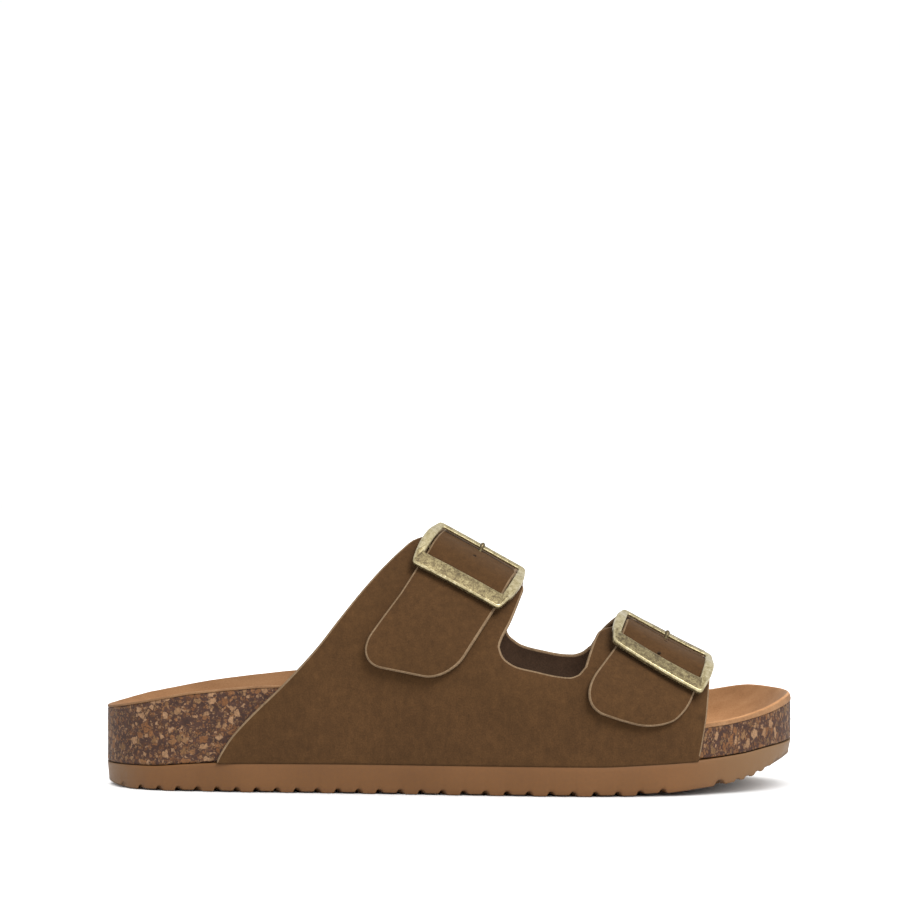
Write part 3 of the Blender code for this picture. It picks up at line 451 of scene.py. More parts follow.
# ---------------------------------------------------------------- node helpers
class Surface:
    """A material's node tree, with its coordinates in millimetres."""

    def __init__(self, name):
        self.mat = bpy.data.materials.new(name)
        self.mat.use_nodes = True
        self.tree = self.mat.node_tree
        self.shader = next(n for n in self.tree.nodes if n.type == "BSDF_PRINCIPLED")
        place = self.add("ShaderNodeTexCoord")
        self.co = self.add("ShaderNodeVectorMath", {0: place.outputs["Object"], "Scale": 1000.0}, operation="SCALE").outputs[0]

    def add(self, kind, inputs=None, **props):
        node = self.tree.nodes.new(kind)
        for key, value in props.items():
            setattr(node, key, value)
        for key, value in (inputs or {}).items():
            self.feed(node.inputs[key], value)
        return node

    def feed(self, socket, value):
        if isinstance(value, bpy.types.NodeSocket):
            self.tree.links.new(value, socket)
        else:
            socket.default_value = value

    def stretch(self, sx, sy, sz, co=None):
        return self.add("ShaderNodeVectorMath", {0: co or self.co, 1: (sx, sy, sz)}, operation="MULTIPLY").outputs[0]

    def noise(self, scale, detail=2.0, rough=0.5, co=None, distort=0.0):
        return self.add("ShaderNodeTexNoise", {"Vector": co or self.co, "Scale": scale, "Detail": detail,
                                               "Roughness": rough, "Distortion": distort}).outputs["Fac"]

    def wobble(self, scale, amount, co=None):
        """Coordinates pushed about by noise, so that cells get ragged outlines."""
        n = self.add("ShaderNodeTexNoise", {"Vector": co or self.co, "Scale": scale, "Detail": 2.0}).outputs["Color"]
        n = self.add("ShaderNodeVectorMath", {0: n, 1: (0.5, 0.5, 0.5)}, operation="SUBTRACT").outputs[0]
        n = self.add("ShaderNodeVectorMath", {0: n, "Scale": amount}, operation="SCALE").outputs[0]
        return self.add("ShaderNodeVectorMath", {0: co or self.co, 1: n}, operation="ADD").outputs[0]

    def cells(self, scale, co=None):
        """Random value of each cell, and the distance to its edge."""
        pick = self.add("ShaderNodeTexVoronoi", {"Vector": co or self.co, "Scale": scale}).outputs["Color"]
        rand = self.add("ShaderNodeSeparateColor", {0: pick})
        edge = self.add("ShaderNodeTexVoronoi", {"Vector": co or self.co, "Scale": scale},
                        feature="DISTANCE_TO_EDGE").outputs["Distance"]
        return rand.outputs[0], rand.outputs[1], edge

    def math(self, op, a, b=0.0, clamp=False):
        return self.add("ShaderNodeMath", {0: a, 1: b}, operation=op, use_clamp=clamp).outputs[0]

    def fit(self, value, lo, hi, out_lo=0.0, out_hi=1.0):
        return self.add("ShaderNodeMapRange", {0: value, 1: lo, 2: hi, 3: out_lo, 4: out_hi},
                        interpolation_type="SMOOTHSTEP").outputs[0]

    def mix(self, fac, a, b):
        node = self.add("ShaderNodeMix", data_type="RGBA")
        for i, v in ((0, fac), (6, a), (7, b)):
            if isinstance(v, tuple):
                v = (*v, 1.0)
            self.feed(node.inputs[i], v)
        return node.outputs[2]

    def ramp(self, fac, *stops):
        node = self.add("ShaderNodeValToRGB", {0: fac})
        while len(node.color_ramp.elements) < len(stops):
            node.color_ramp.elements.new(0.5)
        for el, (at, colour) in zip(node.color_ramp.elements, stops):
            el.position = at
            el.color = (*colour, 1.0)
        return node.outputs[0]

    def blend(self, *parts):
        """Weighted sum of values."""
        total = None
        for value, weight in parts:
            term = self.math("MULTIPLY", value, weight)
            total = term if total is None else self.math("ADD", total, term)
        return total

    def painted_shade_and_toe_tone(self, colour, toe):
        """Painted shade on the suede: darker where it faces sideways, as on the walls, lighter where it faces up; also
        darker towards the heel and paler towards the toe.
        """
        x = self.add("ShaderNodeSeparateXYZ", {0: self.co}).outputs[0]
        # painted shade: the upward part of the normal darkens side-facing suede and lightens up-facing suede
        up = self.add("ShaderNodeSeparateXYZ", {0: self.add("ShaderNodeNewGeometry").outputs["Normal"]}).outputs[2]
        tone = self.math("MULTIPLY", self.fit(x, -70.0, 100.0, 0.92, toe), self.fit(up, 0.35, 0.92, 0.80, 1.10))
        return self.add("ShaderNodeVectorMath", {0: colour, "Scale": tone}, operation="SCALE").outputs[0]

    def bump(self, height, strength, distance):
        node = self.add("ShaderNodeBump", {"Height": height, "Strength": strength, "Distance": distance})
        self.tree.links.new(node.outputs[0], self.shader.inputs["Normal"])

    def set(self, **values):
        for key, value in values.items():
            self.feed(self.shader.inputs[key.replace("_", " ")], value)
        return self


def scaled(colour, k):
    return tuple(c * k for c in colour)


# ---------------------------------------------------------------- materials
def nubuck_material(name, base, lift=1.0):
    m = Surface(name)
    cloud = m.noise(0.045, 2.0)
    mottle = m.noise(0.30, 3.0, 0.6)
    brushed = m.noise(1.0, 2.0, 0.5, m.stretch(0.55, 0.9, 0.22))
    nap = m.noise(1.9, 3.0, 0.65)
    v = m.blend((cloud, 0.16), (mottle, 0.26), (brushed, 0.18), (nap, 0.40))
    colour = m.ramp(v, (0.31, scaled(base, 0.62)), (0.50, base), (0.69, scaled(base, 1.48)))
    m.set(Base_Color=colour, Roughness=0.92, Sheen_Weight=0.06, Sheen_Roughness=0.45,
          Sheen_Tint=(0.75, 0.55, 0.34, 1.0), Specular_IOR_Level=0.12)
    fine = m.noise(4.5, 2.0, 0.6)
    m.bump(m.blend((nap, 0.6), (fine, 0.4), (mottle, 0.5)), 0.35, 0.00016)
    return m.mat


NUBUCK = (0.0525, 0.0252, 0.0089)
nubuck = nubuck_material("nubuck", NUBUCK)

m = Surface("nubuck_flesh_side")
v = m.blend((m.noise(0.2, 3.0), 0.5), (m.noise(1.6, 3.0, 0.6), 0.5))
m.set(Base_Color=m.ramp(v, (0.3, (0.029, 0.0163, 0.0090)), (0.7, (0.055, 0.0318, 0.0184))), Roughness=0.95,
      Specular_IOR_Level=0.2)
m.bump(m.noise(2.6, 3.0, 0.65), 0.4, 0.0002)
flesh = m.mat

m = Surface("nubuck_cut_edge")
fibre = m.noise(1.3, 3.0, 0.6)
v = m.blend((fibre, 0.6), (m.noise(0.25, 2.0), 0.4))
m.set(Base_Color=m.ramp(v, (0.32, (0.098, 0.062, 0.033)), (0.52, (0.155, 0.101, 0.056)), (0.72, (0.21, 0.145, 0.084))),
      Roughness=0.9, Specular_IOR_Level=0.2)
m.bump(fibre, 0.4, 0.00015)
cut_edge = m.mat

m = Surface("insole_suede")
cloud = m.noise(0.035, 2.0)
streak = m.noise(1.0, 3.0, 0.55, m.stretch(0.035, 0.20, 0.20))
nap = m.noise(1.8, 3.0, 0.6)
v = m.blend((cloud, 0.34), (streak, 0.34), (nap, 0.32))
# the insole's colour carries painted shade by facing, and a heel-to-toe tone
m.set(Base_Color=m.painted_shade_and_toe_tone(m.ramp(v, (0.30, (0.140, 0.062, 0.023)), (0.50, (0.215, 0.105, 0.044)), (0.70, (0.275, 0.146, 0.068))), 1.54),
      Roughness=0.9, Sheen_Weight=0.15, Sheen_Roughness=0.45, Sheen_Tint=(0.95, 0.8, 0.62, 1.0), Specular_IOR_Level=0.25)
m.bump(m.blend((nap, 0.7), (m.noise(4.0, 2.0), 0.3)), 0.35, 0.00016)
suede = m.mat

m = Surface("insole_folded_rim")
nap = m.noise(1.8, 3.0, 0.6)
v = m.blend((m.noise(0.15, 3.0), 0.55), (nap, 0.45))
# the folded rim's colour carries painted shade by facing, and a heel-to-toe tone
m.set(Base_Color=m.painted_shade_and_toe_tone(m.ramp(v, (0.30, (0.140, 0.064, 0.025)), (0.52, (0.216, 0.109, 0.047)), (0.72, (0.285, 0.156, 0.074))), 1.12),
      Roughness=0.85, Specular_IOR_Level=0.3)
m.bump(nap, 0.35, 0.00018)
suede_rim = m.mat

m = Surface("outsole_foam")
cloud = m.noise(0.03, 2.0)
fine = m.noise(0.9, 3.0, 0.6)
v = m.blend((cloud, 0.65), (fine, 0.35))
along = m.add("ShaderNodeSeparateXYZ", {0: m.co}).outputs[0]
# painted light: the heel and toe ends are mixed toward a paler colour, standing in for the light they catch as they
# curve away
ends = m.math("ADD", m.fit(along, -129.0, -108.0, 0.40, 0.0), m.fit(along, 80.0, 129.0, 0.0, 0.55))
plain = m.ramp(v, (0.30, (0.095, 0.0390, 0.0100)), (0.50, (0.114, 0.0478, 0.0128)), (0.70, (0.134, 0.0570, 0.0166)))
m.set(Base_Color=m.mix(ends, plain, (0.160, 0.103, 0.053)),
      Roughness=m.fit(fine, 0.3, 0.7, 0.54, 0.66), Specular_IOR_Level=0.30)
m.bump(m.blend((m.noise(2.2, 3.0, 0.6), 0.7), (m.noise(0.3, 2.0), 0.6)), 0.12, 0.0002)
foam = m.mat


def cork_material():
    m = Surface("granulated_cork")
    where = m.add("ShaderNodeSeparateXYZ", {0: m.co})
    # towards the toe the granules are drawn out upright
    tall = m.fit(where.outputs[0], 84.0, 112.0, 1.0, 0.68)
    wide = m.fit(where.outputs[0], 84.0, 112.0, 0.95, 1.08)
    co = m.add("ShaderNodeCombineXYZ", {0: m.math("MULTIPLY", where.outputs[0], wide), 1: where.outputs[1],
                                        2: m.math("MULTIPLY", where.outputs[2], tall)}).outputs[0]
    co = m.wobble(0.75, 1.7, co)
    big, big_tone, big_edge = m.cells(0.43, co)
    small, small_tone, small_edge = m.cells(0.90, co)
    fleck, fleck_tone, fleck_edge = m.cells(1.55, co)
    grit = m.noise(1.6, 3.0, 0.65)
    tones = ((0.0, (0.058, 0.022, 0.0085)), (0.16, (0.095, 0.038, 0.0145)), (0.34, (0.145, 0.060, 0.021)),
             (0.52, (0.185, 0.084, 0.033)), (0.68, (0.122, 0.064, 0.025)), (0.84, (0.225, 0.120, 0.057)), (1.0, (0.265, 0.150, 0.078)))
    matrix = m.ramp(m.blend((grit, 0.55), (m.noise(0.35, 2.0), 0.45)),
                    (0.32, (0.020, 0.0088, 0.0056)), (0.52, (0.039, 0.0175, 0.0115)), (0.70, (0.062, 0.029, 0.0185)))
    shade = m.fit(grit, 0.25, 0.75, 0.48, 1.06)

    def toned(tone):
        c = m.ramp(tone, *tones)
        return m.add("ShaderNodeVectorMath", {0: c, "Scale": shade}, operation="SCALE").outputs[0]

    fleck_on = m.math("MULTIPLY", m.math("GREATER_THAN", fleck, 0.60), m.fit(fleck_edge, 0.04, 0.20))
    small_on = m.math("MULTIPLY", m.math("GREATER_THAN", small, 0.58), m.fit(small_edge, 0.03, 0.15))
    big_on = m.math("MULTIPLY", m.math("GREATER_THAN", big, 0.63), m.fit(big_edge, 0.02, 0.16))
    colour = m.mix(m.math("MULTIPLY", fleck_on, 0.75), matrix, toned(fleck_tone))
    colour = m.mix(m.math("MULTIPLY", small_on, 0.9), colour, toned(small_tone))
    colour = m.mix(big_on, colour, toned(m.fit(big_tone, 0.0, 1.0, 0.30, 1.0)))
    m.set(Base_Color=colour, Roughness=m.fit(grit, 0.3, 0.7, 0.6, 0.85), Specular_IOR_Level=0.22)
    m.bump(m.blend((big_on, 0.45), (small_on, 0.35), (fleck_on, 0.2), (grit, 0.5)), 0.45, 0.00035)
    return m.mat


cork = cork_material()


def brass_material():
    m = Surface("antique_brass")
    wear_and_highlight = m.add("ShaderNodeAttribute", attribute_name="wear_and_highlight").outputs["Fac"]
    blotch = m.noise(0.55, 3.0, 0.62)
    speck = m.noise(1.5, 3.0, 0.65)
    pits = m.noise(3.2, 2.0, 0.6)
    v = m.blend((blotch, 0.40), (speck, 0.38), (pits, 0.22))
    # high edges are rubbed bright, partly real wear and partly a painted highlight on the bevels and side bars; low
    # faces keep their patina
    v = m.math("ADD", v, m.math("MULTIPLY", wear_and_highlight, 0.17))
    colour = m.ramp(v, (0.40, (0.080, 0.060, 0.033)), (0.47, (0.140, 0.108, 0.056)), (0.545, (0.240, 0.194, 0.098)),
                    (0.63, (0.385, 0.325, 0.180)), (0.76, (0.54, 0.475, 0.31)))
    m.set(Base_Color=colour, Metallic=0.85, Roughness=m.fit(v, 0.3, 0.75, 0.52, 0.34))
    m.bump(m.blend((blotch, 0.3), (speck, 0.4), (pits, 0.4)), 0.22, 0.00022)
    return m.mat


brass = brass_material()


# ---------------------------------------------------------------- upper
ROWS = 36
STUB_ROWS = 30
COLS = np.concatenate([np.linspace(0, 8, 49)[:-1], np.linspace(8, 18, 101)[:-1], np.linspace(18, 26, 49)])


def strap_of(j):
    for name, strap in STRAPS.items():
        if strap["columns"][0] - 1e-9 <= j <= strap["columns"][1] + 1e-9:
            return strap
    return None


def weave_columns(columns, rows_from_end):
    """Quads between columns of unequal length whose rows line up at one end."""
    start = np.cumsum([0] + [len(c) for c in columns])
    quads = []
    for a in range(len(columns) - 1):
        rows = min(len(columns[a]), len(columns[a + 1]))
        oa = start[a] + (len(columns[a]) - rows if rows_from_end else 0)
        ob = start[a + 1] + (len(columns[a + 1]) - rows if rows_from_end else 0)
        i = np.arange(rows - 1)
        quads.append(np.stack([oa + i, ob + i, ob + i + 1, oa + i + 1], 1))
    return np.concatenate(quads)


def ripple(points, seed):
    """Small unevenness of a hand-lasted hide."""
    return 0.22 * waves(points, 26.0, seed) + 0.10 * waves(points, 9.0, seed + 3)


def outer_quarter():
    spots, normals, pared = [], [], []
    for j in COLS:
        line = column_line(j)
        z_top = quarter_top(j)
        s_top = float(line(z_top))
        girths = np.linspace(0, float(girth_at(s_top, z_top)), ROWS + 1)
        strap = strap_of(j)
        if strap:
            lo, hi = strap["columns"]
            f = 2 * (j - lo) / (hi - lo) - 1
            run, gs = along_table(strap, f * strap["width"] / 2)
            # where the strap above is cut in, the corner of the stub stays under the buckle
            end = STUB_END - strap["trim"] * (STUB_END - 13.5) * max(0.0, -f) ** 3
            g_end = float(np.interp(end, run, gs))
            under = strap_line(strap, f * strap["stub"] * strap["width"] / 2)
            g = np.linspace(girths[-1], g_end, STUB_ROWS + 1)[1:]
            w = np.concatenate([np.zeros(ROWS + 1), step(bar_girth(strap) + 0.02, g_end, g)])
            girths = np.concatenate([girths, g])
            s = station_on(girths, lambda z: (1 - w) * line(z) + w * under(z), s_top)
        else:
            s = station_on(girths, line, s_top)
        spots.append(last(s, girths))
        normals.append(last_normal(s, girths))
        # the stubs are pared thin towards their ends
        pared.append(0.5 * step(11.0, STUB_END, np.interp(girths, gs, run)) if strap else np.zeros(len(girths)))
    quads = weave_columns(spots, False)
    p, n = np.concatenate(spots), np.concatenate(normals)
    swell = (ripple(p, 1) * step(11.5, 20.0, p[:, 2]))[:, None]
    thick = WALL * (1 - np.concatenate(pared))[:, None]
    return shell("upper_quarter", p + n * (thick + swell), p + n * np.minimum(swell, 0.25), quads, [nubuck, flesh, cut_edge])


FLAP = np.linspace(0, 1, 41)[:-1]
NEAR = np.arange(-15.0, 24.01, 1.0)
OVER = 46


def inner_straps():
    spots, normals, overs = [], [], []
    for j in COLS:
        pattern = column_line(j, "cut_far")
        z_top = far_top(j)
        s_top = float(pattern(z_top))
        g_top = float(girth_at_inner(s_top, z_top))
        low = np.linspace(g_top, 2, ROWS + 1)
        strap = strap_of(j)
        if not strap:
            s = station_on(low, pattern, s_top)
            spots.append(last(s, low))
            normals.append(last_normal(s, low))
            overs.append(np.zeros(len(low)))
            continue
        lo, hi = strap["columns"]
        half = strap["width"] / 2
        f = 2 * (j - lo) / (hi - lo) - 1
        f = math.copysign(1 - (1 - abs(f)) ** 1.7, f)
        edge = strap_line(strap, f * half)
        run, gs = along_table(strap, f * half)
        z_end = strap["end_height"]
        for _ in range(30):
            s_end = float(edge(z_end))
            z_end = 0.5 * z_end + 0.5 * (strap["end_height"]
                                         + strap["end_slope"] * (s_end - float(strap_line(strap, 0)(strap["end_height"]))))
        corner = strap["end_round"][0 if f < 0 else 1]
        reach = max(0.0, abs(f) * half - (half - corner))
        z_end += corner - math.sqrt(max(corner ** 2 - reach ** 2, 0.0))
        a_end = float(np.interp(float(girth_at(float(edge(z_end)), z_end)), gs, run))
        along = np.concatenate([a_end + (NEAR[0] - a_end) * FLAP, NEAR])
        girths = np.interp(along, run, gs)
        t = np.arange(1, OVER) / OVER
        girths = np.concatenate([girths, girths[-1] + (g_top - girths[-1]) * t, low])
        w = np.concatenate([np.zeros(len(along)), step(0.0, 0.62, t), np.ones(len(low))])
        over = np.concatenate([col(LIFT, "over", along), np.zeros(len(t) + len(low))])
        beyond = np.interp(girths, gs, run)
        sag = strap["sag"][0] + (strap["sag"][1] - strap["sag"][0]) * (0.5 + 0.5 * f)
        over = over - sag * step(9, 33, beyond) * (1 - w_far(girths))
        # inside the buckle the strap is pressed a little narrower or wider
        slim = strap["pinch"][0 if f < 0 else 1] * abs(f) * step(-12, -7.5, beyond) * (1 - step(13, 20, beyond))
        flap = strap_line(strap, f * (half - slim))
        # past the buckle the strap narrows a little
        back, fore = strap["waist"]
        waist = (back * (0.5 - 0.5 * f) ** 2 - fore * (0.5 + 0.5 * f) ** 2) * step(9, 16, beyond) * (1 - step(1.05, 1.5, girths))
        s = station_on(girths, lambda z: (1 - w) * flap(z) + w * pattern(z) + waist, strap["station"])
        spots.append(last(s, girths))
        normals.append(last_normal(s, girths))
        overs.append(over)
    quads = weave_columns(spots, True)
    p, n, o = np.concatenate(spots), np.concatenate(normals), np.concatenate(overs)
    swell = ripple(p, 2) * step(11.5, 20.0, p[:, 2])
    o = (o + swell)[:, None]
    return shell("upper_straps", p + n * (WALL + o), p + n * o, quads, [nubuck, flesh, cut_edge])


def punch(ob):
    """Punched holes of the straps."""
    verts, faces = [], []
    for name, spots in HOLES.items():
        strap = STRAPS[name]
        for across, along in spots:
            over = float(col(LIFT, "over", along))
            low, high = on_strap(strap, [across, across], [along, along], [over - 1.5, over + WALL + 1.5])
            axis = (high - low) / np.linalg.norm(high - low)
            u = np.cross(axis, [1.0, 0, 0])
            u /= np.linalg.norm(u)
            v = np.cross(axis, u)
            base, n = len(verts), 20
            for end in (low, high):
                for t in np.linspace(0, 2 * math.pi, n + 1)[:-1]:
                    verts.append(end + HOLE_RADIUS * (math.cos(t) * u + math.sin(t) * v))
            faces += [(base + i, base + (i + 1) % n, base + n + (i + 1) % n, base + n + i) for i in range(n)]
            faces += [tuple(base + n - 1 - i for i in range(n)), tuple(base + n + i for i in range(n))]
    cutter = make("hole_punch", np.array(verts), faces, [0] * len(faces), [flesh])
    tidy(cutter)
    cut = ob.modifiers.new("holes", "BOOLEAN")
    cut.operation, cut.solver, cut.object = "DIFFERENCE", "EXACT", cutter
    bpy.context.view_layer.update()
    graph = bpy.context.evaluated_depsgraph_get()
    made = bpy.data.meshes.new_from_object(ob.evaluated_get(graph))
    ob.modifiers.clear()
    ob.data = made
    bpy.data.objects.remove(cutter, do_unlink=True)


quarter = outer_quarter()
straps = inner_straps()
punch(straps)


# ---------------------------------------------------------------- footbed and insole
def loop(heel, middle, toe):
    """Stations and sides all round the outline."""
    a = HEEL_CAP * (1 - np.cos(np.linspace(0, math.pi / 2, heel)))
    b = np.linspace(HEEL_CAP, LENGTH - TOE_CAP_INNER, middle)
    c = LENGTH - TOE_CAP_INNER * (1 - np.sin(np.linspace(0, math.pi / 2, toe)))
    row = np.concatenate([a[:-1], b[:-1], c])
    return np.concatenate([row, row[-2:0:-1]]), np.concatenate([-np.ones(len(row)), np.ones(len(row) - 2)])


def ring(s, side, r):
    """Plan points of a ring: r 0 on the spine, 1 on the outline."""
    y = outline(s, side)
    cs = np.clip(s, SPINE_BACK, SPINE_FRONT)
    cy = 0.5 * (outline(cs, -1) + outline(cs, 1))
    return cs + r * (s - cs), cy + r * (y - cy)


RIM_PRESS = 0.7         # round the heel the outer rim is trodden down a little


def bed_height(s, side, r, x, y):
    floor = (col(BED, "floor", x)
             + PAD_RISE * np.exp(-((x - PAD_STATION) / PAD_LONG) ** 2 - (y / PAD_WIDE) ** 2)
             + TOE_BAR_RISE * np.exp(-((x - TOE_BAR_STATION + 0.25 * y) / TOE_BAR_LONG) ** 2))
    rim = np.where(side < 0, col(BED, "rim_outer", s) - RIM_PRESS * (1 - step(70, 130, s)),
                   col(BED, "rim_inner", s) - RIM_PRESS * (1 - step(0, 14, s)))
    power = np.where(side < 0, col(BED, "power_outer", s), col(BED, "power_inner", s))
    return floor + (rim - floor) * np.clip(r / 0.975, 0, 1) ** power


def cork_top(s, side):
    """Top edge of the footbed's side."""
    return np.where(side < 0, col(BED, "rim_outer", s), col(BED, "rim_inner", s)) - 0.3 - col(BED, "lip", s) - GAP


def roll(s, r):
    """How far the insole's edge is rounded down: little at the heel, a soft roll at the toe."""
    size = np.interp(s, [150, 205, 232, 246, 258], [0.32, 0.9, 1.15, 1.6, 2.2])
    u = np.clip((r - 1 + 1.3 * size / 45.0) / (1.3 * size / 45.0), 0, 1)
    return size * (1 - np.sqrt(1 - u * u))


UNDER_RINGS = (0.0, 0.15, 0.3, 0.4, 0.5, 0.58, 0.65, 0.7, 0.75, 0.79, 0.83, 0.86, 0.89, 0.91, 0.93, 0.95, 0.97)


def insole_piece():
    s, side = loop(40, 90, 70)
    low = cork_top(s, side) - 0.05
    rings, slots = [], []
    for r in np.concatenate([np.linspace(0, 0.80, 17), np.linspace(0.82, 0.93, 8), np.linspace(0.94, 0.99, 11),
                             (0.9925, 0.995, 0.997, 0.9985, 0.9995, 1.0)]):
        x, y = ring(s, side, r)
        z = bed_height(s, side, r, x, y)
        p = np.stack([x, y, z], -1)
        uneven = 0.07 * waves(p, 5.0, 5) + 0.12 * waves(p, 19.0, 6)
        rings.append(np.stack([x, y, z + uneven - roll(s, r)], -1))
        slots.append(1 if r > 0.985 else 0)
    edge = rings[-1]
    for t, out in ((0.15, 0.07), (0.40, 0.13), (0.70, 0.13), (0.92, 0.04), (1.0, -0.12)):
        x, y = ring(s, side, 1.0 + out / 45.0)
        rings.append(np.stack([x, y, edge[:, 2] + (low - edge[:, 2]) * t], -1))
        slots.append(1)
    for r in UNDER_RINGS[::-1]:
        x, y = ring(s, side, r)
        z = bed_height(s, side, r, x, y) - LINING - step(0.94, 1.0, r) * (col(BED, "lip", s) - LINING)
        rings.append(np.stack([x, y, z], -1))
        slots.append(1)
    return loft("insole_suede", rings, [suede, suede_rim], slots)


def footbed_piece():
    s, side = loop(90, 240, 150)
    lip = col(BED, "lip", s)
    top = cork_top(s, side)
    rings = []
    for r in UNDER_RINGS:
        x, y = ring(s, side, r)
        z = bed_height(s, side, r, x, y) - LINING - GAP - step(0.94, 1.0, r) * (lip - LINING)
        rings.append(np.stack([x, y, np.minimum(z, top) if r > 0.95 else z], -1))
    x, y = ring(s, side, 0.985)
    rings.append(np.stack([x, y, top], -1))
    x, y = ring(s, side, 1.0)
    foot = sole_top(x) + GAP
    rows = 40
    for i in range(rows + 1):
        t = i / rows
        inset = 0.35 * (max(0.0, 1 - t / 0.04) ** 2 + max(0.0, 1 - (1 - t) / 0.04) ** 2)
        x, y = ring(s, side, 1.0 - inset / 45.0)
        p = np.stack([x, y, top + (foot - top) * t], -1)
        # granules stand a little proud and leave small pits between them
        rough = 0.10 * waves(p, 1.9, 11) + 0.07 * waves(p, 0.9, 12) - 0.10 * np.clip(waves(p, 2.6, 13) - 0.25, 0, 1)
        push = np.clip(rough, -0.25, 0.14)
        x, y = ring(s, side, 1.0 + (push - inset - 0.05) / 45.0)
        rings.append(np.stack([x, y, p[:, 2]], -1))
    for r in (0.9, 0.6, 0.3, 0.0):
        x, y = ring(s, side, r)
        rings.append(np.stack([x, y, sole_top(x) + GAP], -1))
    return loft("footbed_cork", rings, [cork])


insole = insole_piece()
footbed = footbed_piece()


# ---------------------------------------------------------------- outsole
def groove_station(k):
    return GROOVE_FIRST + GROOVE_PITCH * k + GROOVE_SPREAD * k * k


LAST_GROOVE = 27        # from here on the notches of the toe are small
TOE_NOTCHES = table("station wide deep",
                    (229.6, 1.9, 2.0), (236.4, 1.2, 0.9), (240.2, 1.2, 0.9), (244.0, 1.2, 0.9), (247.5, 1.1, 0.8), (251.2, 1.1, 0.8))


def tread_profile(first, final, toe):
    """Height of the tread's underside along the sole, with softened corners."""
    s = np.arange(-2.0, LENGTH + 2.0, 0.05)
    z = sole_bottom(np.clip(s, 0, LENGTH))
    for k in range(first, final):
        d = s - groove_station(k)
        inside = np.abs(d) < GROOVE_RADIUS
        z[inside] = np.maximum(z[inside], float(sole_bottom(groove_station(k))) + GROOVE_SINK
                               + np.sqrt(GROOVE_RADIUS ** 2 - d[inside] ** 2))
    for k in range(1, final - 1, 2):
        lo, hi = groove_station(k), groove_station(k + 1)
        inside = (s > lo) & (s < hi)
        z[inside] = np.maximum(z[inside], np.interp(s[inside], [lo, hi], sole_bottom(np.array([lo, hi]))) + SHORT_TOOTH)
    for at, wide, deep in zip(*TOE_NOTCHES.values()) if toe else ():
        z += deep * np.sqrt(np.clip(1 - ((s - at) / wide) ** 2, 0, 1))
    kernel = np.exp(-0.5 * (np.arange(-12, 13) * 0.05 / 0.17) ** 2)
    z = np.convolve(np.pad(z, 12, mode="edge"), kernel / kernel.sum(), mode="valid")
    return s, np.maximum(z, 0.0)


TREAD_S, TREAD_Z = tread_profile(0, LAST_GROOVE, True)
TREAD_INNER_Z = tread_profile(1, LAST_GROOVE - 1, False)[1]     # the end notches don't run through


def outsole_piece():
    a = HEEL_CAP * (1 - np.cos(np.linspace(0, math.pi / 2, 130)))
    b = np.linspace(HEEL_CAP, 200, 420)
    c = LENGTH - 58 * (1 - np.sin(np.linspace(0, math.pi / 2, 210)))
    s = np.concatenate([a[:-1], b[:-1], c])
    cs = np.clip(s, SPINE_BACK, SPINE_FRONT)
    cy = 0.5 * (outline(cs, -1) + outline(cs, 1))
    flare = sole_flare(s)
    yo, yi = outline(s, -1) - flare, outline(s, 1) + flare
    draft = 1 - SOLE_DRAFT / 45.0

    def line(r, y, z):
        return np.stack([cs + r * (s - cs), cy + r * (y - cy), z], -1)

    def under(r, tread=TREAD_Z, swing=0.0):
        return np.interp(cs + r * (s - cs) + swing, TREAD_S, tread)

    top = sole_top(s)
    mid = 0.5 * (yo + yi)
    wide = 0.5 * (yi - yo)
    strips = []
    inner_first = [(1.0, mid + u * wide, top) for u in np.linspace(0.985, -0.985, 11)]
    for r, y, z in inner_first:
        strips.append(line(r, y, z))

    def flank(y, down):
        rows = [line(1 - 0.40 / 45, y, top - 0.03), line(1 - 0.12 / 45, y, top - 0.22), line(1.0, y, top - 0.6)]
        low = under(draft)
        for t in np.linspace(0, 1, 7)[1:-1]:
            r = 1 + (draft - 1) * t
            rows.append(line(r, y, (top - 0.6) * (1 - t) + (low + 0.4) * t))
        rows += [line(draft, y, low + 0.4), line(draft - 0.12 / 45, y, low + 0.12), line(draft - 0.42 / 45, y, low)]
        return rows if down else rows[::-1]

    strips += flank(yo, True)
    # under the sole the grooves run in waves from side to side
    for u in np.linspace(-0.97, 0.97, 41):
        strips.append(line(draft, mid + u * wide, under(draft, TREAD_Z if abs(u) > 0.92 else TREAD_INNER_Z,
                                                        3.8 * math.sin(2 * math.pi * u))))
    strips += flank(yi, False)
    # strips run along the sole: turn them into rings round each station
    rings = np.stack(strips, 1)
    return loft("outsole_foam", rings, [foam], sharp=55)


outsole = outsole_piece()


# ---------------------------------------------------------------- buckles and prongs
def rounded_rectangle(a0, a1, b0, b1, radius, cuts=(44, 60, 44, 60), arc=7):
    """Loop of (across, along) points with rounded corners."""
    pts = []
    corners = ((a1, b1, 0), (a0, b1, 90), (a0, b0, 180), (a1, b0, 270))

    def on(n, t):
        ca, cb, start = corners[n % 4]
        ca -= radius * (1 if ca == a1 else -1)
        cb -= radius * (1 if cb == b1 else -1)
        t = math.radians(start + t)
        return ca + radius * math.cos(t), cb + radius * math.sin(t)

    for n in range(4):
        pts += [on(n, 90 * i / arc) for i in range(arc + 1)]
        tail, head = on(n, 90), on(n + 1, 0)
        pts += [(tail[0] + (head[0] - tail[0]) * t / cuts[n], tail[1] + (head[1] - tail[1]) * t / cuts[n])
                for t in range(1, cuts[n])]
    return pts


def barrel(points, bulge):
    """Bows the loop's two short sides outwards."""
    middle, half = 0.5 * (FRAME_LOW + FRAME_HIGH), 0.5 * (FRAME_HIGH - FRAME_LOW)
    return np.array([(a + math.copysign(bulge * (abs(a) / FRAME_HALF) ** 4 * (1 - ((b - middle) / half) ** 2), a), b)
                     for a, b in points])


PLATE_RISE = 0.35       # the bottom plate stands a little higher than the side bars
PLATE_HOLLOW = 0.9      # and is thinner underneath
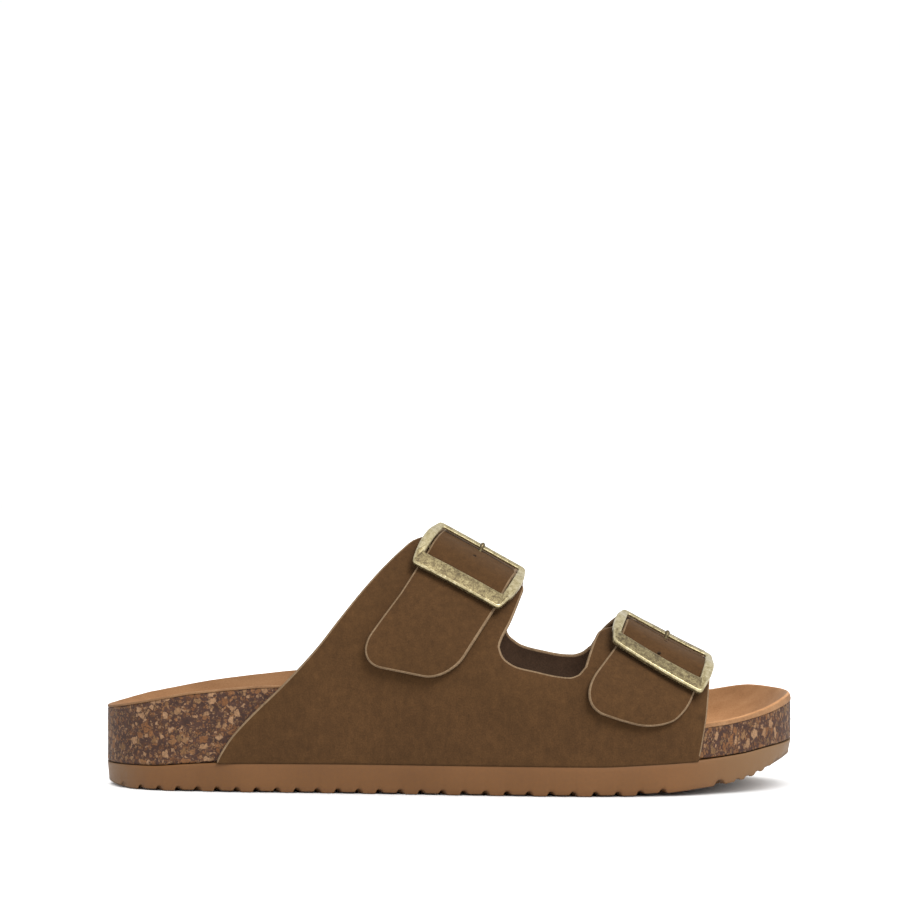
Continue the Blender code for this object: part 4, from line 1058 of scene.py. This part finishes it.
# section of the frame from its outer underside over the top to its inner underside: inset from that
# side, height, and how much it is rubbed bright, partly wear and partly a painted highlight on the bevel
OUTER_SECTION = ((0.30, FRAME_UNDER, 0.0), (0.04, FRAME_UNDER + 0.25, 0.0), (0.0, FRAME_UNDER + 0.6, 0.0),
                 (0.0, FRAME_TOP - 0.85, 0.0), (0.04, FRAME_TOP - 0.66, 0.6), (0.24, FRAME_TOP - 0.34, 1.0),
                 (0.48, FRAME_TOP - 0.08, 1.0), (0.62, FRAME_TOP - 0.01, 0.5), (0.78, FRAME_TOP, 0.0))
INNER_SECTION = ((0.72, FRAME_TOP, 0.0), (0.52, FRAME_TOP - 0.03, 0.35), (0.24, FRAME_TOP - 0.20, 0.7),
                 (0.05, FRAME_TOP - 0.50, 0.4), (0.0, FRAME_TOP - 0.9, 0.1), (0.0, FRAME_UNDER + 0.5, 0.0),
                 (0.15, FRAME_UNDER + 0.1, 0.0), (0.4, FRAME_UNDER, 0.0))



def frame_height(across, along, up):
    plate = 1 - step(FRAME_LOW + BAR_LOW - 0.2, FRAME_LOW + BAR_LOW + 0.7, along)
    share = np.clip((up - FRAME_UNDER) / (FRAME_TOP - FRAME_UNDER), 0, 1)
    return up + share * (PLATE_RISE * plate - FRAME_THIN * step(2, 12, along)) + (1 - share) * PLATE_HOLLOW * plate


def buckle_piece(name, strap):
    rings, wear_and_highlight = [], []
    for inset, up, bright in OUTER_SECTION:
        a, b = barrel(rounded_rectangle(-FRAME_HALF + inset, FRAME_HALF - inset, FRAME_LOW + inset, FRAME_HIGH - inset,
                                        FRAME_ROUND), FRAME_BULGE).T
        rings.append(on_strap(strap, a, b, frame_height(a, b, up)))
        # rubbed brightness, partly a painted highlight, on the side bars above the plate and towards the top bar
        side = step(13.5, 16.5, np.abs(a)) * step(FRAME_LOW + BAR_LOW - 0.3, FRAME_LOW + BAR_LOW + 1.2, b)
        wear_and_highlight.append(np.maximum(bright, np.maximum(0.95 * side, 0.55 * step(8.0, 11.5, b))))
    box = (-FRAME_HALF + BAR_SIDE, FRAME_HALF - BAR_SIDE, FRAME_LOW + BAR_LOW, FRAME_HIGH - BAR_HIGH)
    for inset, up, bright in INNER_SECTION:
        a, b = barrel(rounded_rectangle(box[0] - inset, box[1] + inset, box[2] - inset, box[3] + inset,
                                        FRAME_INNER_ROUND + inset), FRAME_INNER_BULGE).T
        rings.append(on_strap(strap, a, b, frame_height(a, b, up)))
        # the same rubbing and painted highlight on the inner edges
        side = step(13.5, 16.0, np.abs(a)) * step(FRAME_LOW + BAR_LOW - 0.3, FRAME_LOW + BAR_LOW + 1.2, b)
        wear_and_highlight.append(np.maximum(bright, np.maximum(0.95 * side, 0.55 * step(8.0, 11.5, b))))
    ob = loft("buckle_" + name + "_frame", rings, [brass], closed=True, wear_and_highlight=np.array(wear_and_highlight))

    # the pin that the strap's end turns round, with its lugs on the side bars
    reach = FRAME_HALF
    turn = np.linspace(0, 2 * math.pi, 21)[:-1]
    bar = [on_strap(strap, a, CENTRE_RADIUS * np.cos(turn), CENTRE_OVER + CENTRE_RADIUS * np.sin(turn))
           for a in np.linspace(-reach, reach, 33)]
    bar = [[np.mean(bar[0], axis=0)] * 20] + bar + [[np.mean(bar[-1], axis=0)] * 20]
    pieces = [loft("pin_" + name, bar, [brass], wear_and_highlight=np.full(35, 0.3))]
    for side in (-1, 1):
        posts = []
        for up in np.linspace(CENTRE_OVER - CENTRE_RADIUS - 0.15, FRAME_TOP - 1.6, 7):
            ca = side * (FRAME_HALF + 0.3)
            a = ca + 0.86 * np.sign(np.cos(turn)) * np.abs(np.cos(turn)) ** 0.45
            b = LUG_HALF * np.sign(np.sin(turn)) * np.abs(np.sin(turn)) ** 0.45
            posts.append(on_strap(strap, a, b, np.full(20, up)))
        posts = [[np.mean(posts[0], axis=0)] * 20] + posts + [[np.mean(posts[-1], axis=0)] * 20]
        pieces.append(loft("lug_" + name, posts, [brass], wear_and_highlight=np.full(9, 0.2)))
    bm = bmesh.new()
    for part in [ob] + pieces:
        bm.from_mesh(part.data)
    bm.to_mesh(ob.data)
    bm.free()
    for part in pieces:
        bpy.data.objects.remove(part, do_unlink=True)
    ob.data.set_sharp_from_angle(angle=math.radians(50))
    return ob


def prong_piece(name, strap):
    hook = [(HOOK_RADIUS * math.cos(math.radians(t)), CENTRE_OVER + HOOK_RADIUS * math.sin(math.radians(t)), 1.0)
            for t in range(-70, -271, -10)]
    path = np.array(hook + list(zip(PRONG["along"], PRONG["over"], PRONG["swell"])))
    run = np.concatenate([[0], np.cumsum(np.linalg.norm(np.diff(path[:, :2], axis=0), axis=1))])
    t = np.linspace(0, run[-1], 110)
    fine = np.stack([smooth(run, path[:, i], t) for i in range(3)], -1)
    for i in range(2):
        fine[2:-2, i] = np.convolve(fine[:, i], [0.1, 0.2, 0.4, 0.2, 0.1], mode="valid")
    ahead = np.gradient(fine[:, :2], axis=0)
    ahead /= np.linalg.norm(ahead, axis=1, keepdims=True)
    radius = PRONG_RADIUS * fine[:, 2]
    centres, sizes = list(fine[:, :2]), list(radius)
    dirs = list(ahead)
    for u in (0.35, 0.65, 0.86, 0.97, 1.0):      # round tip
        centres.append(fine[-1, :2] + ahead[-1] * radius[-1] * 0.8 * u)
        sizes.append(radius[-1] * math.sqrt(max(1 - u * u, 0.0)))
        dirs.append(ahead[-1])
    turn = np.linspace(0, 2 * math.pi, 19)[:-1]
    rings = [np.tile([0.0, *fine[0, :2]], (18, 1))]
    for c, r, d in zip(centres, sizes, dirs):
        side = np.array([-d[1], d[0]])
        rings.append(np.stack([r * np.cos(turn), c[0] + r * np.sin(turn) * side[0], c[1] + r * np.sin(turn) * side[1]], -1))
    flat = np.concatenate(rings)
    on = on_strap(strap, flat[:, 0], flat[:, 1], flat[:, 2]).reshape(len(rings), 18, 3)
    # the prong is coloured darker than the frame's plain faces
    return loft("prong_" + name + "_pin", on, [brass], wear_and_highlight=np.full(len(rings), -0.4))


buckles = {name: buckle_piece(name, strap) for name, strap in STRAPS.items()}
prongs = {name: prong_piece(name, strap) for name, strap in STRAPS.items()}


# ---------------------------------------------------------------- join the looks to the frame
for ob, node, slot in ((quarter, "upper", "nubuck"), (straps, "upper", "nubuck"), (insole, "insole", "suede"),
                       (footbed, "footbed", "cork"), (outsole, "outsole", "foam"),
                       (buckles["rear"], "buckle_rear", "brass"), (buckles["front"], "buckle_front", "brass"),
                       (prongs["rear"], "prong_rear", "brass"), (prongs["front"], "prong_front", "brass")):
    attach(ob, "root")
    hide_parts(node)


# ---------------------------------------------------------------- floor, light and camera
scene = bpy.context.scene
bm = bmesh.new()
bmesh.ops.create_grid(bm, x_segments=2, y_segments=2, size=6.0)
me = bpy.data.meshes.new("floor")
bm.to_mesh(me)
bm.free()
floor = bpy.data.objects.new("floor", me)
scene.collection.objects.link(floor)
paper = bpy.data.materials.new("floor_paper")
paper.use_nodes = True
shader = next(n for n in paper.node_tree.nodes if n.type == "BSDF_PRINCIPLED")
shader.inputs["Base Color"].default_value = (0.80, 0.80, 0.80, 1.0)
shader.inputs["Roughness"].default_value = 0.9
shader.inputs["Specular IOR Level"].default_value = 0.1
me.materials.append(paper)
floor.location = (0, 0, -0.0002)

world = bpy.data.worlds.new("studio")
scene.world = world
world.use_nodes = True
sky = next(n for n in world.node_tree.nodes if n.type == "BACKGROUND")
sky.inputs["Color"].default_value = (1.0, 1.0, 1.0, 1.0)
sky.inputs["Strength"].default_value = 1.02


# a broad soft key from the upper right, in front; it models the sandal, and leaves the pale floor evenly lit
key_light = bpy.data.lights.new("key", "SUN")
key_light.energy = 3.65
key_light.angle = math.radians(30)
key = bpy.data.objects.new("key", key_light)
scene.collection.objects.link(key)
key.rotation_euler = Vector((-0.38, 0.60, -0.70)).to_track_quat("-Z", "Y").to_euler()
apart = bpy.data.collections.new("floor_apart")
apart.objects.link(floor)
key.light_linking.receiver_collection = apart
apart.collection_objects[0].light_linking.link_state = "EXCLUDE"

wash_light = bpy.data.lights.new("wash", "SUN")
wash_light.energy = 3.8
wash_light.angle = math.radians(150)
wash = bpy.data.objects.new("wash", wash_light)
scene.collection.objects.link(wash)
floor_only = bpy.data.collections.new("floor_only")
floor_only.objects.link(floor)
wash.light_linking.receiver_collection = floor_only

lens = bpy.data.cameras.new("camera")
lens.lens = 137.71
lens.sensor_width = 36.0
lens.clip_start, lens.clip_end = 0.01, 30.0
camera = bpy.data.objects.new("camera", lens)
scene.collection.objects.link(camera)
camera.location = Vector((45.8, -1299.2 + SHIFT[1], 125.74)) * MM
target = Vector((0.47, 0.02 + SHIFT[1], 125.74)) * MM
camera.rotation_euler = (target - camera.location).to_track_quat("-Z", "Y").to_euler()
scene.camera = camera
scene.view_settings.view_transform = "Standard"
